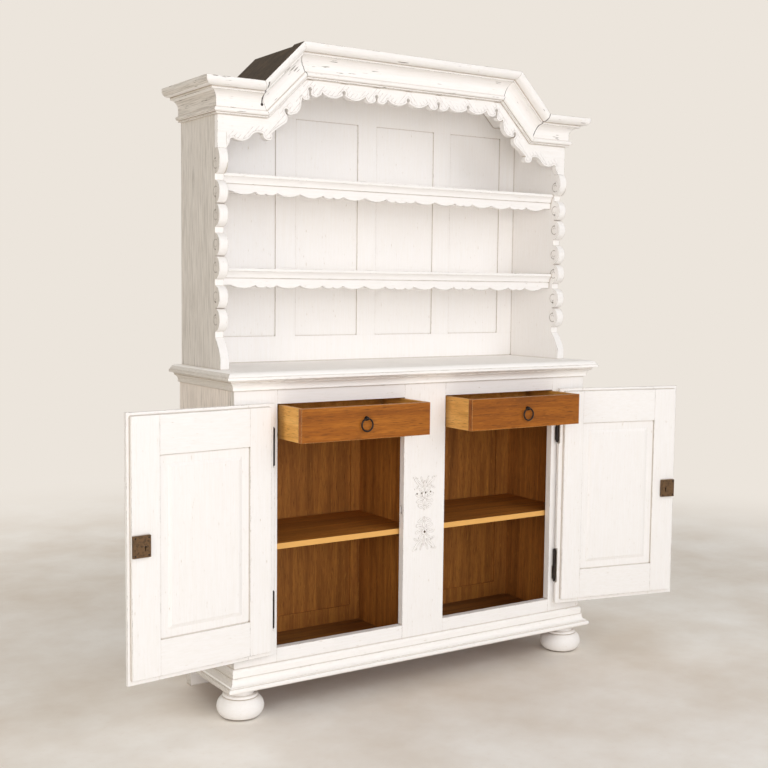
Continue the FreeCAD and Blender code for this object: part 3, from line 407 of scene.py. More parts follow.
@dataclass(frozen=True)
class ChalkPaint:
    """Brushed chalk paint over oak: matt, faintly streaked, rubbed to the wood along its arrises."""

    name: str
    run: Run
    bare: Bare = Bare.NOWHERE
    under: Oak | None = None
    sides_washed_and_shaded: bool = False
    carved: bool = False
    cracks: tuple[Crack, ...] = ()
    paint: str = "F8F5F2"
    thin: str = "F4F0EB"
    ground: str = "BCA98C"
    timber: str = "54422F"
    # Dirt and painted shade in quirks and creases: their colour and strength
    grime_and_shade: str = "A8957C"
    quirk_dirt_and_shade: float = 0.9
    # Painted shade: how far the deepest hollows are darkened to the wood's colour
    deep_painted_shade: float = 0.85
    grain: str = "E4DDD3"
    grain_share: float = 0.15
    wear: float = 1.0
    # Shares of rub at which paint starts to thin and at which wood starts to show
    rub_thin: float = 0.70
    rub_bare: float = 0.79
    scuffed: float = 0.0
    scuff_per_metre: float = 230.0
    scuff_along: float = 0.07
    # The outer sides had one thin coat, so the oak's open grain greys through it; their darker tone is partly
    # painted shade on the faces that look away from the middle
    side_wash_and_shade: str = "E6E0D8"
    side_wash_and_shade_thin: str = "D8D1C7"
    wash_grain: str = "796E61"
    # The colour in gouge cuts: glaze, and painted shade in the cuts
    gouge: str = "94857A"
    gap: str = "2E2219"
    # Arrises are rubbed over 2 mm and quirks are darkened with dirt and painted shade over 7 mm, a little
    # wider than real, to show
    edge: float = 1.9 * MM
    crevice: float = 7 * MM
    # Brush hairs leave streaks 5 mm apart, rubbed dashes are 25 mm long, patches span a hand
    stroke_per_metre: float = 200.0
    dash_per_metre: float = 230.0
    dash_along: float = 0.2
    grain_per_metre: float = 330.0
    grain_along: float = 0.03
    patch_per_metre: float = 9.0
    wobble_per_metre: float = 60.0
    # Half the room inside the carcass, and how far back a node is bare altogether: 9 m is nowhere
    carcass_half: float = 656.7 * MM
    rear_depth: float = 9.0
    top: TopLine = TopLine(1932.0)
    top_margin: float = 6 * MM
    # The binder's index of refraction
    ior: float = 1.46

    def bare_mask(self, tree: Tree) -> Socket:
        """Where the wood was never painted.

        Args:
            tree: the material's tree.

        Returns:
            A socket that is 1 on bare wood.
        """
        signed, depth, height = beside_front(tree)
        aside = sums(tree, "ABSOLUTE", signed)
        if self.bare is Bare.REAR:
            behind = sums(tree, "GREATER_THAN", depth, self.rear_depth)
            return sums(tree, "MAXIMUM", sums(tree, "GREATER_THAN", facing(tree, "Y"), 0.5), behind)
        if self.bare is Bare.OVERHEAD:
            return sums(tree, "GREATER_THAN", facing(tree, "Z"), -0.3)
        if self.bare is Bare.INSIDE:
            return sums(tree, "LESS_THAN", aside, self.carcass_half)
        line = self.top
        top = spread(tree, aside, line.low_bend * MM, line.high_bend * MM, line.low * MM,
                     (line.low + line.step) * MM)
        upward = sums(tree, "GREATER_THAN", facing(tree, "Z"), 0.5)
        crowned = sums(tree, "GREATER_THAN", height, sums(tree, "SUBTRACT", top, self.top_margin))
        return sums(tree, "MULTIPLY", upward, crowned)

    def coat(self, tree: Tree, strokes: Socket, dashes: Socket, outer: Socket | None) -> Socket:
        """The paint before it aged.

        Args:
            tree: the material's tree.
            strokes: the brush's streaks.
            dashes: the short marks along the grain.
            outer: 1 on the outer sides, where these had the thin coat, darker partly as painted shade.

        Returns:
            The colour socket.
        """
        tone = blend(tree, spread(tree, strokes, 0.35, 0.75), self.paint, self.thin)
        tone = blend(tree, spread(tree, dashes, 0.56, 0.70, 0.0, self.grain_share), tone, self.grain)
        if outer is None:
            return tone
        # The outer sides' thin coat: greyer and darker, partly as painted shade, with open grain
        lines = drawn_out(tree, self.run, self.grain_per_metre, self.grain_along)
        open_grain = noise(tree, lines, 1.0, 4.0, 0.65)
        side_wash_and_shade = blend(tree, spread(tree, strokes, 0.35, 0.7), self.side_wash_and_shade, self.side_wash_and_shade_thin)
        side_wash_and_shade = blend(tree, spread(tree, open_grain, 0.48, 0.72, 0.0, 0.6), side_wash_and_shade, self.wash_grain)
        return blend(tree, outer, tone, side_wash_and_shade)

    def darkened_in_hollows(self, tree: Tree, tone: Socket, air: Socket, flat: Socket, outer: Socket | None) -> Socket:
        """The paint darkened in its quirks and creases, with dirt and painted shade where other faces close
        in.

        Args:
            tree: the material's tree.
            tone: its colour.
            air: 1 in the open, less in a quirk.
            flat: 1 on the flat, less at an arris or a crease.
            outer: 1 on the outer sides, where these had the thin coat, darker partly as painted shade.

        Returns:
            The colour socket.
        """
        # Dirt and painted shade: grey-brown where other faces close in and along creases
        quirk = spread(tree, air, 0.86, 0.35, 0.0, self.quirk_dirt_and_shade)
        # On the outer sides the hollows are darkened further, as dirt and painted shade
        if outer is not None and self.deep_painted_shade:
            aged = sums(tree, "MULTIPLY", outer, spread(tree, air, 0.84, 0.45, 0.0, 0.95))
            quirk = sums(tree, "MAXIMUM", quirk, aged)
        tone = blend(tree, quirk, tone, self.grime_and_shade)
        # Painted shade: the deepest hollows turn to the dark wood's colour
        tone = blend(tree, spread(tree, air, 0.50, 0.20, 0.0, self.deep_painted_shade), tone, self.timber)
        creased = sums(tree, "MULTIPLY", spread(tree, flat, 0.998, 0.97),
                       spread(tree, air, 0.98, 0.88, 0.0, 0.5))
        return blend(tree, creased, tone, self.grime_and_shade)

    def rubbed(self, tree: Tree, tone: Socket, dashes: Socket, air: Socket,
               flat: Socket) -> tuple[Socket, Socket]:
        """The paint rubbed thin along its arrises, and through to the wood in dashes.

        Args:
            tree: the material's tree.
            tone: its colour.
            dashes: the short marks along the grain.
            air: 1 in the open, less in a quirk.
            flat: 1 on the flat, less at an arris.

        Returns:
            The colour socket, and 1 where wood shows.
        """
        patches = noise(tree, object_place(tree), self.patch_per_metre, 3.0)
        arris = sums(tree, "MULTIPLY", spread(tree, flat, 0.99, 0.80), spread(tree, air, 0.55, 0.85))
        tone = blend(tree, sums(tree, "MULTIPLY", arris, 0.3), tone, self.ground)
        handled = sums(tree, "MULTIPLY", arris, spread(tree, patches, 0.38, 0.58, 0.08, 0.40 * self.wear))
        rub = sums(tree, "ADD", dashes, handled)
        bare = spread(tree, rub, self.rub_bare, self.rub_bare + 0.06)
        tone = blend(tree, spread(tree, rub, self.rub_thin, self.rub_bare, 0.0, 0.75), tone, self.ground)
        return blend(tree, bare, tone, self.timber), bare

    def marked(self, tree: Tree, tone: Socket, dashes: Socket) -> Socket:
        """The paint with its scuffs, the glaze and painted shade in gouge cuts with the deepest cuts dark as
        painted shade, and open joints.

        Args:
            tree: the material's tree.
            tone: its colour.
            dashes: the short marks along the grain.

        Returns:
            The colour socket.
        """
        if self.scuffed:
            dents = drawn_out(tree, self.run, self.scuff_per_metre, self.scuff_along)
            scuffs = noise(tree, dents, 1.0, 3.0, 0.5)
            spots = noise(tree, object_place(tree), self.patch_per_metre * 1.7, 2.0)
            scuff = sums(tree, "MULTIPLY_ADD", spots, 0.5, scuffs)
            knocked = spread(tree, scuff, 1.0 - self.scuffed, 1.06 - self.scuffed)
            tone = blend(tree, knocked, tone, self.timber)
        # Glaze and painted shade in the cuts; the deepest cuts and punched holes turn dark as painted shade
        if self.carved:
            cut = add_node(tree, "ShaderNodeAttribute", attribute_name="cut").outputs["Fac"]
            kept = spread(tree, dashes, 0.40, 0.55, 0.45, 1.0)
            glaze_and_shade = sums(tree, "MULTIPLY", spread(tree, cut, 0.1, 0.6, 0.0, 0.8), kept)
            tone = blend(tree, glaze_and_shade, tone, self.gouge)
            tone = blend(tree, spread(tree, cut, 0.7, 0.95), tone, self.timber)
        if self.cracks:
            signed, _, height = beside_front(tree)
            wobble = noise(tree, object_place(tree), self.wobble_per_metre, 3.0)
            first, *others = (crack.mask(tree, signed, height, wobble) for crack in self.cracks)
            for other in others:
                first = sums(tree, "MAXIMUM", first, other)
            tone = blend(tree, first, tone, self.gap)
        return tone

    def material(self) -> Material:
        """Builds the paint.

        Returns:
            The material.
        """
        material, tree, output = blank_material(self.name)
        strokes = noise(tree, drawn_out(tree, self.run, self.stroke_per_metre), 1.0, 4.0)
        dashes = noise(tree, drawn_out(tree, self.run, self.dash_per_metre, self.dash_along), 1.0, 3.0, 0.55)
        softened = soft_edge(tree, self.edge, 6)
        flat, air = flatness(tree, softened), open_air(tree, self.crevice, 8)
        outer = None
        # Outer sides: faces that look away from the middle, which take the thin coat and its painted shade
        if self.sides_washed_and_shaded:
            away = sums(tree, "MULTIPLY", sums(tree, "SIGN", beside_front(tree)[0]), facing(tree, "X"))
            outer = sums(tree, "GREATER_THAN", away, 0.5)
        tone = self.darkened_in_hollows(tree, self.coat(tree, strokes, dashes, outer), air, flat, outer)
        tone, bare = self.rubbed(tree, tone, dashes, air, flat)
        tone = self.marked(tree, tone, dashes)
        depth = sums(tree, "MULTIPLY_ADD", bare, -1.2, strokes)
        sheen = spread(tree, strokes, 0.0, 1.0, 0.55, 0.72)
        if self.bare is not Bare.NOWHERE:
            mask = self.bare_mask(tree)
            wood, fibres = self.under.pattern(tree)
            tone = blend(tree, mask, tone, wood)
            sheen = between(tree, mask, sheen, self.under.roughness)
            depth = between(tree, mask, depth, fibres)
        surface(tree, output, {
            "Base Color": tone, "Roughness": sheen, "Normal": bumped(tree, 0.3, 0.3 * MM, depth, softened),
            "IOR": self.ior})
        return material


@dataclass(frozen=True)
class Iron:
    """Forged or plate iron with a thin coat of rust: dull where it is brown, burnished where it is dark."""

    name: str
    base: str = "2E2825"
    rust: str = "5E4330"
    rust_share: float = 0.5
    roughness: float = 0.42
    metallic: float = 0.75
    edge: float = 0.5 * MM
    # Rust blooms span about 9 mm and forging pits under 2 mm
    bloom_per_metre: float = 110.0
    pit_per_metre: float = 600.0

    def material(self) -> Material:
        """Builds the iron.

        Returns:
            The material.
        """
        material, tree, output = blank_material(self.name)
        place = object_place(tree)
        blooms = noise(tree, place, self.bloom_per_metre, 6.0, 0.7)
        pits = noise(tree, place, self.pit_per_metre, 3.0)
        rusty = spread(tree, blooms, 0.75 - self.rust_share * 0.5, 0.9 - self.rust_share * 0.5)
        surface(tree, output, {
            "Base Color": blend(tree, rusty, self.base, self.rust),
            "Metallic": spread(tree, rusty, 0.0, 1.0, self.metallic, 0.2),
            "Roughness": spread(tree, rusty, 0.0, 1.0, self.roughness, 0.75),
            "Normal": bumped(tree, 0.35, 0.2 * MM, pits, soft_edge(tree, self.edge, 4))})
        return material


Finish = Oak | ChalkPaint | Iron
# Unfinished oak indoors: warm brown and matt; the copy for boards that lie level is darker
DRY_OAK_UP = Oak("dry_oak_upright", Run.UP, light="CF8C3D", middle="B07030", dark="84511E")
DRY_OAK_LEVEL = Oak("dry_oak_level", Run.ACROSS, light="A87536", middle="875829", dark="5E3D1B")
# The same oak where its other face turns to the wall: greyed and dusty behind
BACK_OAK = Oak("dry_oak_back_of_carcass", Run.UP, light="CF8C3D", middle="B07030", dark="84511E",
               weathered_behind=0.72)
# Oak that never had a finish, out of sight on top and behind: grey-brown, dusty and quite matt
BARE_TOP = Oak("weathered_roof_oak", Run.ACROSS, light="5A4935", middle="473928", dark="33281B",
               pore="211A13", roughness=0.95)
BARE_REAR = Oak("weathered_back_oak", Run.UP, light="7A6550", middle="665340", dark="4C3D2F", pore="33281F",
                roughness=0.85)
# Oak shelf rubbed by years of hands: its front edge is honey-coloured and paler than the rest, partly wear
# and partly painted light on the faces that look to the front
SHELF_OAK = Oak("dry_oak_shelf_with_rubbed_edge", Run.ACROSS, rubbed="EFB868", front_wear_and_light=0.85)
# Waxed oak: deep orange-brown with a low sheen, dark pores and pale worn arrises
WAXED_OAK = Oak("waxed_oak_drawer_front", Run.ACROSS, light="B87020", middle="9E5A12", dark="784009",
                pore="452506", rubbed="EDBE7C", rubbed_share=0.85, roughness=0.52, edge=2.2 * MM,
                fleck_per_metre=210.0)
# Newer oak on the drawer boxes: pale yellow, with painted shade that darkens it inside, where other faces
# close in
DRAWER_SIDE_OAK = Oak("pale_oak_drawer_side", Run.BACK, light="F2BE6C", middle="E0A552", dark="BE8638",
                      pore="6B4318", rubbed="F3D096", painted_shade_inside=0.6, painted_shade_reach=42 * MM, roughness=0.55)
# Joints of the cornice that opened as the boards shrank: thin dark lines, one with a nail hole
OPEN_JOINTS = (Crack(-546, 1870, 1930, -0.04, 1.3, 5.0), Crack(-390.5, 1968, 2030, -0.411, 0.6),
               Crack(533, 1860, 1932, 0.411, 0.8), Crack(391, 1972, 2016, 0.411, 0.5))
# Chalk paint brushed on planed oak: warm white, flat, with faint brush streaks along each board
UPRIGHT = ChalkPaint("chalk_paint_brushed_upright", Run.UP, wear=0.9)
LEVEL = ChalkPaint("chalk_paint_brushed_level", Run.ACROSS, wear=1.2)
# The same paint on run mouldings: arrises rubbed to the ground coat, a little dirt and painted shade left in
# the quirks
MOULDING = ChalkPaint("chalk_paint_on_mouldings", Run.ACROSS, sides_washed_and_shaded=True, wear=1.1, quirk_dirt_and_shade=0.5,
                      paint="FDFAF6", thin="FAF6F1")
# The face frame, whose back faces the carcass: white in front, bare oak behind
OUTER_STILE = ChalkPaint("chalk_paint_on_outer_stiles", Run.UP, Bare.REAR, DRY_OAK_UP, True)
CENTRE_STILE = ChalkPaint("chalk_paint_on_centre_stile", Run.UP, Bare.REAR, DRY_OAK_UP)
FACE_RAIL = ChalkPaint("chalk_paint_on_face_rails", Run.ACROSS, Bare.REAR, DRY_OAK_LEVEL)
# One thin coat on the outer sides: greyer, partly as painted shade, with the oak's open grain showing through
# as fine lines
# The carcass's wash is lighter than the rack's, as painted light on the sides under the counter
CARCASS_SIDE = ChalkPaint("thin_chalk_wash_on_carcass", Run.UP, Bare.INSIDE, DRY_OAK_UP, True,
                          side_wash_and_shade="F4EBE1", side_wash_and_shade_thin="E6DBD0")
RACK_SIDE = ChalkPaint("chalk_paint_on_rack_side", Run.UP, Bare.REAR, BARE_REAR, True, quirk_dirt_and_shade=0.3,
                       deep_painted_shade=0.0)
# The rack's back, shielded by the fascia, is less worn; its paint is whiter than elsewhere, as painted light,
# and it is bare oak where it turns to the wall
RACK_BACK = ChalkPaint("chalk_paint_on_rack_back", Run.UP, Bare.REAR, BARE_REAR, wear=0.6,
                       rear_depth=384 * MM, paint="FFFCF9", thin="FBF7F2", grain_share=0.1)
# Paint on the cornice: knocked and rubbed in short dashes that show dark wood, its top left bare
CORNICE = ChalkPaint("chalk_paint_on_cornice", Run.ACROSS, Bare.TOP, BARE_TOP, cracks=OPEN_JOINTS, wear=1.6,
                     scuffed=0.05)
CORNICE_SLOPE = ChalkPaint("chalk_paint_on_cornice_slopes", Run.SLOPE, Bare.TOP, BARE_TOP, cracks=OPEN_JOINTS,
                           wear=1.6, scuffed=0.07)
CORNICE_RETURN = ChalkPaint("chalk_wash_on_cornice_returns", Run.BACK, Bare.TOP, BARE_TOP, True, wear=1.5,
                            timber="6B5C4C", scuffed=0.08)
# Roof boards: bare and grey-brown above, painted on their undersides that show under the arch
ROOF = ChalkPaint("weathered_oak_roof_boards", Run.ACROSS, Bare.OVERHEAD, BARE_TOP)
# Paint on the lathe-turned feet: streaks run round, the rings are rubbed
TURNED = ChalkPaint("chalk_paint_on_turning", Run.ROUND, wear=1.3)
# Paint over gouge work: crests stay white and the cuts hold grey-brown, partly glaze and partly painted shade
CARVED = ChalkPaint("chalk_paint_on_carving", Run.UP, sides_washed_and_shaded=True, carved=True, wear=0.4)
# Forged iron, blackened: near black with a soft sheen and a few brown blooms
BLACK_IRON = Iron("blackened_iron", rust_share=0.35)
# Plate iron of the lock cases: an even brown rust, dull, with darker burnished spots
RUSTED_IRON = Iron("rusted_plate_iron", base="4A3928", rust="6E5234", rust_share=0.75, roughness=0.5,
                   metallic=0.6)


@cache
def material_of(finish: Finish) -> Material:
    """The material of a finish, built once."""
    return finish.material()


def dress(finish: Finish, *names: str) -> None:
    """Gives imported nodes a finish.

    Args:
        finish: the finish.
        names: the nodes' names.
    """
    for name in names:
        for slot in NODES[name].material_slots:
            slot.link = "OBJECT"
            slot.material = material_of(finish)
    LOG.info("%s on %s", finish.name, ", ".join(names))


@dataclass(frozen=True)
class Face:
    """A flat face that carries carving: a point on it in metres, its two directions and outwards."""

    origin: Vector
    across: Vector
    up: Vector
    outward: Vector

    def at(self, u: float, v: float, out: float) -> Vector:
        """A point near the face, in metres, from millimetres across, up and out."""
        return self.origin + (self.across * u + self.up * v + self.outward * out) * MM


def settle(name: str, mesh: bpy.types.Mesh, finish: Finish, body: str) -> None:
    """Puts a finished mesh in the scene as a piece that rides on a body.

    Args:
        name: the piece's name.
        mesh: its mesh, already in place.
        finish: its finish.
        body: the body that it rides on.
    """
    mesh.materials.clear()
    mesh.materials.append(material_of(finish))
    piece = bpy.data.objects.new(name, mesh)
    bpy.context.scene.collection.objects.link(piece)
    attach(piece, body)


def carve_relief(name: str, face: Face, area: tuple[float, float, float, float], pitch: float,
                 carve: Carve) -> None:
    """Carves a closed slab of relief on a face, as a painted piece of the cabinet.

    Below sunk there is no slab, and its wall goes skirt into the wood, both in millimetres.

    Args:
        name: the piece's name.
        face: the face that carries it.
        area: lowest u and v, highest u and v.
        pitch: how far the grid's points lie apart.
        carve: gives the height over the face and how deep the gouge went, from 0 to 1, at a point, which
            the mesh keeps as the attribute "cut".
    """
    sunk, skirt = -0.2, -1.5
    columns = int((area[2] - area[0]) / pitch) + 1
    rows = int((area[3] - area[1]) / pitch) + 1
    bm = bmesh.new()
    layer = bm.verts.layers.float.new("cut")
    made: dict[tuple[int, int], bmesh.types.BMVert] = {}
    values = {(i, j): carve(area[0] + i * pitch, area[1] + j * pitch)
              for i in range(columns) for j in range(rows)}

    def point(i: int, j: int) -> bmesh.types.BMVert:
        """The grid's vertex at one crossing.

        Args:
            i: the column.
            j: the row.

        Returns:
            The vertex.
        """
        if (i, j) not in made:
            height, cut = values[i, j]
            place = face.at(area[0] + i * pitch, area[1] + j * pitch, max(height, sunk))
            made[i, j] = bm.verts.new(place)
            made[i, j][layer] = cut
        return made[i, j]

    for i in range(columns - 1):
        for j in range(rows - 1):
            if max(values[i + a, j + b][0] for a in (0, 1) for b in (0, 1)) > sunk:
                bm.faces.new([point(i, j), point(i + 1, j), point(i + 1, j + 1), point(i, j + 1)])
    rim = [edge for edge in bm.edges if edge.is_boundary]
    grown = bmesh.ops.extrude_edge_only(bm, edges=rim)["geom"]
    for vert in (item for item in grown if isinstance(item, bmesh.types.BMVert)):
        vert.co += face.outward * skirt * MM
    bmesh.ops.holes_fill(bm, edges=[edge for edge in bm.edges if edge.is_boundary], sides=0)
    bmesh.ops.recalc_face_normals(bm, faces=bm.faces)
    mesh = bpy.data.meshes.new(name)
    bm.to_mesh(mesh)
    bm.free()
    for polygon in mesh.polygons:
        polygon.use_smooth = True
    settle(name, mesh, CARVED, "cabinet")


def line_share(distance: float, width: float) -> float:
    """How strongly a gouged line of a width shows at a distance from its middle."""
    return math.exp(-(distance / width) ** 2)


@dataclass(frozen=True)
class Petal:
    """One leaf of a carved ornament: an oval with a gouged midrib, in millimetres and degrees."""

    u: float
    v: float
    length: float
    width: float
    turn: float
    height: float = 1.9
    rib_width: float = 0.8
    rim_from: float = 0.72

    def shape(self, u: float, v: float) -> tuple[float, float]:
        """The petal's height and gouge at a point.

        Args:
            u: across.
            v: up.

        Returns:
            The height, below zero outside the petal, and the gouge's depth.
        """
        cosine, sine = math.cos(math.radians(self.turn)), math.sin(math.radians(self.turn))
        along = ((u - self.u) * cosine + (v - self.v) * sine) / (self.length / 2)
        aside = (-(u - self.u) * sine + (v - self.v) * cosine) / (self.width / 2)
        reach = along * along + aside * aside
        if reach > 1.15:
            return UNCUT
        rib = line_share(aside * self.width / 2, self.rib_width) * (1.0 - max(along, 0.0)) * (along > -0.8)
        rim = max(0.0, (reach - self.rim_from) / (1.0 - self.rim_from))
        height = self.height * (1.0 - reach) ** 0.5 - rib if reach < 1.0 else -0.1
        return height, min(0.69, max(0.9 * rim, 0.7 * rib))


@dataclass
class Palmettes:
    """Two palmettes carved on the middle stile, their wings turned away from each other, in millimetres."""

    upper_foot: float = 584.0
    lower_foot: float = 563.0
    length: float = 119.0
    middle: float = 2.0
    pitch: float = 0.9
    half: float = 48.0
    punch: float = 2.3
    lower_punch: float = 3.45
    punch_rim: float = 0.8

    def petals(self) -> list[Petal]:
        """The leaves of one palmette, from its foot at 0 up to its wings.

        Returns:
            The leaves.
        """
        one_side = [Petal(15, 13, 26, 13, 25), Petal(20, 32, 30, 13, -12), Petal(23, 50, 30, 12, 18),
                    Petal(15, 66, 24, 10, 48), Petal(25, 92, 46, 12, 42), Petal(11, 101, 26, 8, 68),
                    Petal(38, 109, 22, 8, 12), Petal(33, 76, 20, 8, -28)]
        middle = [Petal(0, 8, 15, 11, 90), Petal(0, 27, 24, 15, 90, 2.2), Petal(0, 52, 22, 20, 90, 2.5),
                  Petal(0, 82, 34, 10, 90)]
        other = [Petal(-p.u, p.v, p.length, p.width, 180 - p.turn) for p in one_side]
        return one_side + middle + other

    def build(self) -> None:
        """Carves both palmettes."""
        self.carve("palmette_upper", self.upper_foot, 1.0, self.punch,
                   ((-31, 57), (-13, 57), (3, 58), (24, 60)))
        self.carve("palmette_lower", self.lower_foot, -1.0, self.lower_punch, ((1, 52),))

    def carve(self, name: str, foot: float, way: float, punch: float,
              dots: tuple[tuple[float, float], ...]) -> None:
        """Carves one palmette.

        Args:
            name: the piece's name.
            foot: how high its foot lies.
            way: 1 where it stands up, -1 where it hangs.
            punch: the radius of its punched holes.
            dots: the place of each hole.
        """
        petals = self.petals()
        front = body_front()

        def cut_at(u: float, v: float) -> tuple[float, float]:
            """The palmette's height and gouge at a point.

            Args:
                u: across.
                v: up from its foot.

            Returns:
                The height over the face and the gouge's depth.
            """
            found = [petal.shape(u, v) for petal in petals]
            height = max(item[0] for item in found)
            cut = min((item[1] for item in found if item[0] >= height - 0.25), default=0.0)
            for x, y in dots:
                if math.hypot(u - x, v - y) < punch + self.punch_rim:
                    height, cut = min(height, 0.1) if height > -0.2 else 0.05, 1.0
            return height, cut

        face = Face(Vector((front.x + self.middle * MM, front.y, foot * MM)), Vector((1, 0, 0)),
                    Vector((0, 0, way)), Vector((0, -1, 0)))
        carve_relief(name, face, (-self.half, -3, self.half, self.length + 3), self.pitch, cut_at)


@dataclass
class Volutes:
    """Curled gouge lines and eyes on both faces of the rack's scrolled sides, in millimetres and degrees."""

    fascia_foot: float = 1731.0
    fascia_clear: float = 16.0
    first_lip: float = 1646.0
    lip_pitch: float = 159.0
    half_lip: float = 10.0
    lips: int = 4
    root: float = 141.0
    crest: float = 109.0
    outer_face: float = 690.0
    inner_face: float = 660.5
    curl: float = 15.5
    curl_back: float = 6.0
    curl_width: float = 1.5
    curl_depth: float = 0.84
    curl_span: tuple[float, float] = (-125.0, 92.0)
    inner_width: float = 1.3
    inner_depth: float = 0.6
    inner_span: tuple[float, float] = (20.0, 160.0)
    ground: float = 4.0
    rim: float = 1.2
    vein_inset: float = 6.5
    vein_width: float = 0.8
    vein_depth: float = 0.35
    eye: float = 3.4
    past_root: float = 18.0
    stand: float = 0.9
    pitch: float = 1.3

    def lobes(self) -> list[tuple[float, float, bool]]:
        """The lobes between the lips and the cusps.

        Returns:
            Each lobe's low and high end, and whether its eye is at the top.
        """
        spans = []
        high = self.fascia_foot - self.fascia_clear
        for count in range(self.lips):
            lip = self.first_lip - self.lip_pitch * count
            spans.append((lip + self.half_lip, high, True))
            if count < self.lips - 1:
                cusp = lip - self.lip_pitch / 2
                spans.append((cusp, lip - self.half_lip, False))
                high = cusp
        return spans

    def carve(self, y: float, z: float) -> tuple[float, float]:
        """The height and the gouge on a side's face.

        Args:
            y: how far back from the body's front.
            z: height over the floor.

        Returns:
            The height over the face, below zero where nothing is carved, and the gouge's depth.
        """
        lobe = next((span for span in self.lobes() if span[0] <= z <= span[1]), None)
        if lobe is None:
            return UNCUT
        low, high, eye_on_top = lobe
        half, rise = (high - low) / 2, self.root - self.crest
        up, back = z - (low + high) / 2, y - (self.root - self.curl_back)
        radius = (half * half + rise * rise) / (2 * rise)
        inside = radius - math.hypot(y - self.crest - radius, up)
        reach = math.hypot(back, up)
        if inside < self.rim or (back > 0 and reach > self.curl + self.ground):
            return UNCUT
        up = up if eye_on_top else -up
        turn = math.degrees(math.atan2(up, back))
        cut = self.vein_depth * line_share(inside - self.vein_inset, self.vein_width)
        for bend, width, depth, (start, end) in (
                (self.curl, self.curl_width, self.curl_depth, self.curl_span),
                (self.curl * 0.5, self.inner_width, self.inner_depth, self.inner_span)):
            if start < turn < end:
                cut = max(cut, depth * line_share(reach - bend, width))
        if math.hypot(back - 0.5, up - self.curl) < self.eye:
            cut = 1.0
        fade = min(1.0, max(0.0, (self.curl + self.ground - reach) / 2.5)) if back > 0 else 1.0
        height = min(self.stand, (inside - self.rim) * 0.8)
        return (height - cut * 0.9) * fade - 0.1 * (1 - fade), cut * fade

    def build(self) -> None:
        """Carves the four faces."""
        front = body_front()
        lowest = self.first_lip - self.lip_pitch * (self.lips - 1)
        area = (self.crest, lowest, self.root + self.past_root, self.fascia_foot)
        for side, sign in (("left", -1.0), ("right", 1.0)):
            for which, place, way in (("outer", self.outer_face, sign), ("inner", self.inner_face, -sign)):
                face = Face(Vector((front.x + sign * place * MM, front.y, 0.0)), Vector((0, 1, 0)),
                            Vector((0, 0, 1)), Vector((way, 0, 0)))
                carve_relief(f"volutes_{side}_{which}", face, area, self.pitch, self.carve)


@dataclass
class ArchFoliage:
    """Gouged ribs and veins that follow the scalloped edge of the fascia, in millimetres."""

    front_back: float = 122.0
    foot: float = 1731.0
    top: TopLine = TopLine(1916.0)
    half_width: float = 660.0
    band: float = 24.0
    pitch: float = 2.2
    stand: float = 0.9
    rib_pitch: float = 17.0
    rib_lean: float = 0.9
    rib_width: float = 1.4
    rib_from: float = 7.0
    rib_clear: float = 4.0
    vein_inset: float = 6.0
    vein_width: float = 1.1
    gouge: float = 0.5
    top_margin: float = 14.0
    top_clear: float = 30.0
    margin: float = 3.0

    def outline(self) -> np.ndarray:
        """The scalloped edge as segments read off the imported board's front face.

        Returns:
            An array of segments, each its start and end across and up, in millimetres.
        """
        mesh = NODES["arch_fascia"].data
        front = body_front()
        plane = front.y + self.front_back * MM
        counts: dict[tuple, int] = {}
        for polygon in mesh.polygons:
            points = [mesh.vertices[index].co for index in polygon.vertices]
            if any(abs(p.y - plane) > 0.02 * MM for p in points):
                continue
            flat = [(round((p.x - front.x) / MM, 2), round(p.z / MM, 2)) for p in points]
            for pair in zip(flat, flat[1:] + flat[:1]):
                key = tuple(sorted(pair))
                counts[key] = counts.get(key, 0) + 1
        kept = []
        for (a, b), times in counts.items():
            x, z = (a[0] + b[0]) / 2, (a[1] + b[1]) / 2
            if times == 1 and self.top.at(abs(x)) - z > self.top_margin and abs(x) < self.half_width:
                kept.append((a, b))
        return np.array(kept)

    def build(self) -> None:
        """Carves the foliage."""
        segments = self.outline()
        start, way = segments[:, 0], segments[:, 1] - segments[:, 0]
        span = (way ** 2).sum(1)
        front = body_front()
        left, right = segments[:, 0, 0], segments[:, 1, 0]

        def cut_at(u: float, v: float) -> tuple[float, float]:
            """The foliage's height and gouge at a point of the fascia.

            Args:
                u: across from the middle.
                v: height over the floor.

            Returns:
                The height over the face and the gouge's depth.
            """
            offset = np.array((u, v)) - start
            share = np.clip((offset * way).sum(1) / span, 0, 1)
            gap = float(np.hypot(*(offset - way * share[:, None]).T).min())
            if not self.margin <= gap <= self.band or self.top.at(abs(u)) - v < self.top_clear:
                return UNCUT
            under = segments[(left > u) != (right > u)]
            part = (u - under[:, 0, 0]) / (under[:, 1, 0] - under[:, 0, 0])
            heights = under[:, 0, 1] + part * (under[:, 1, 1] - under[:, 0, 1])
            if int((heights > v).sum()) % 2 == 1:
                return UNCUT
            phase = (abs(u) + v * self.rib_lean) / self.rib_pitch
            rib = line_share((phase - round(phase)) * self.rib_pitch, self.rib_width)
            rib *= self.rib_from < gap < self.band - self.rib_clear
            cut = self.gouge * max(rib, line_share(gap - self.vein_inset, self.vein_width))
            height = min(self.stand, (gap - self.margin) * 0.7, (self.band - gap) * 0.5)
            return height - cut, cut

        area = (-self.half_width, self.foot, self.half_width, float(segments[:, :, 1].max()) + self.band)
        face = Face(Vector((front.x, front.y + self.front_back * MM, 0.0)), Vector((1, 0, 0)),
                    Vector((0, 0, 1)), Vector((0, -1, 0)))
        carve_relief("arch_foliage", face, area, self.pitch, cut_at)


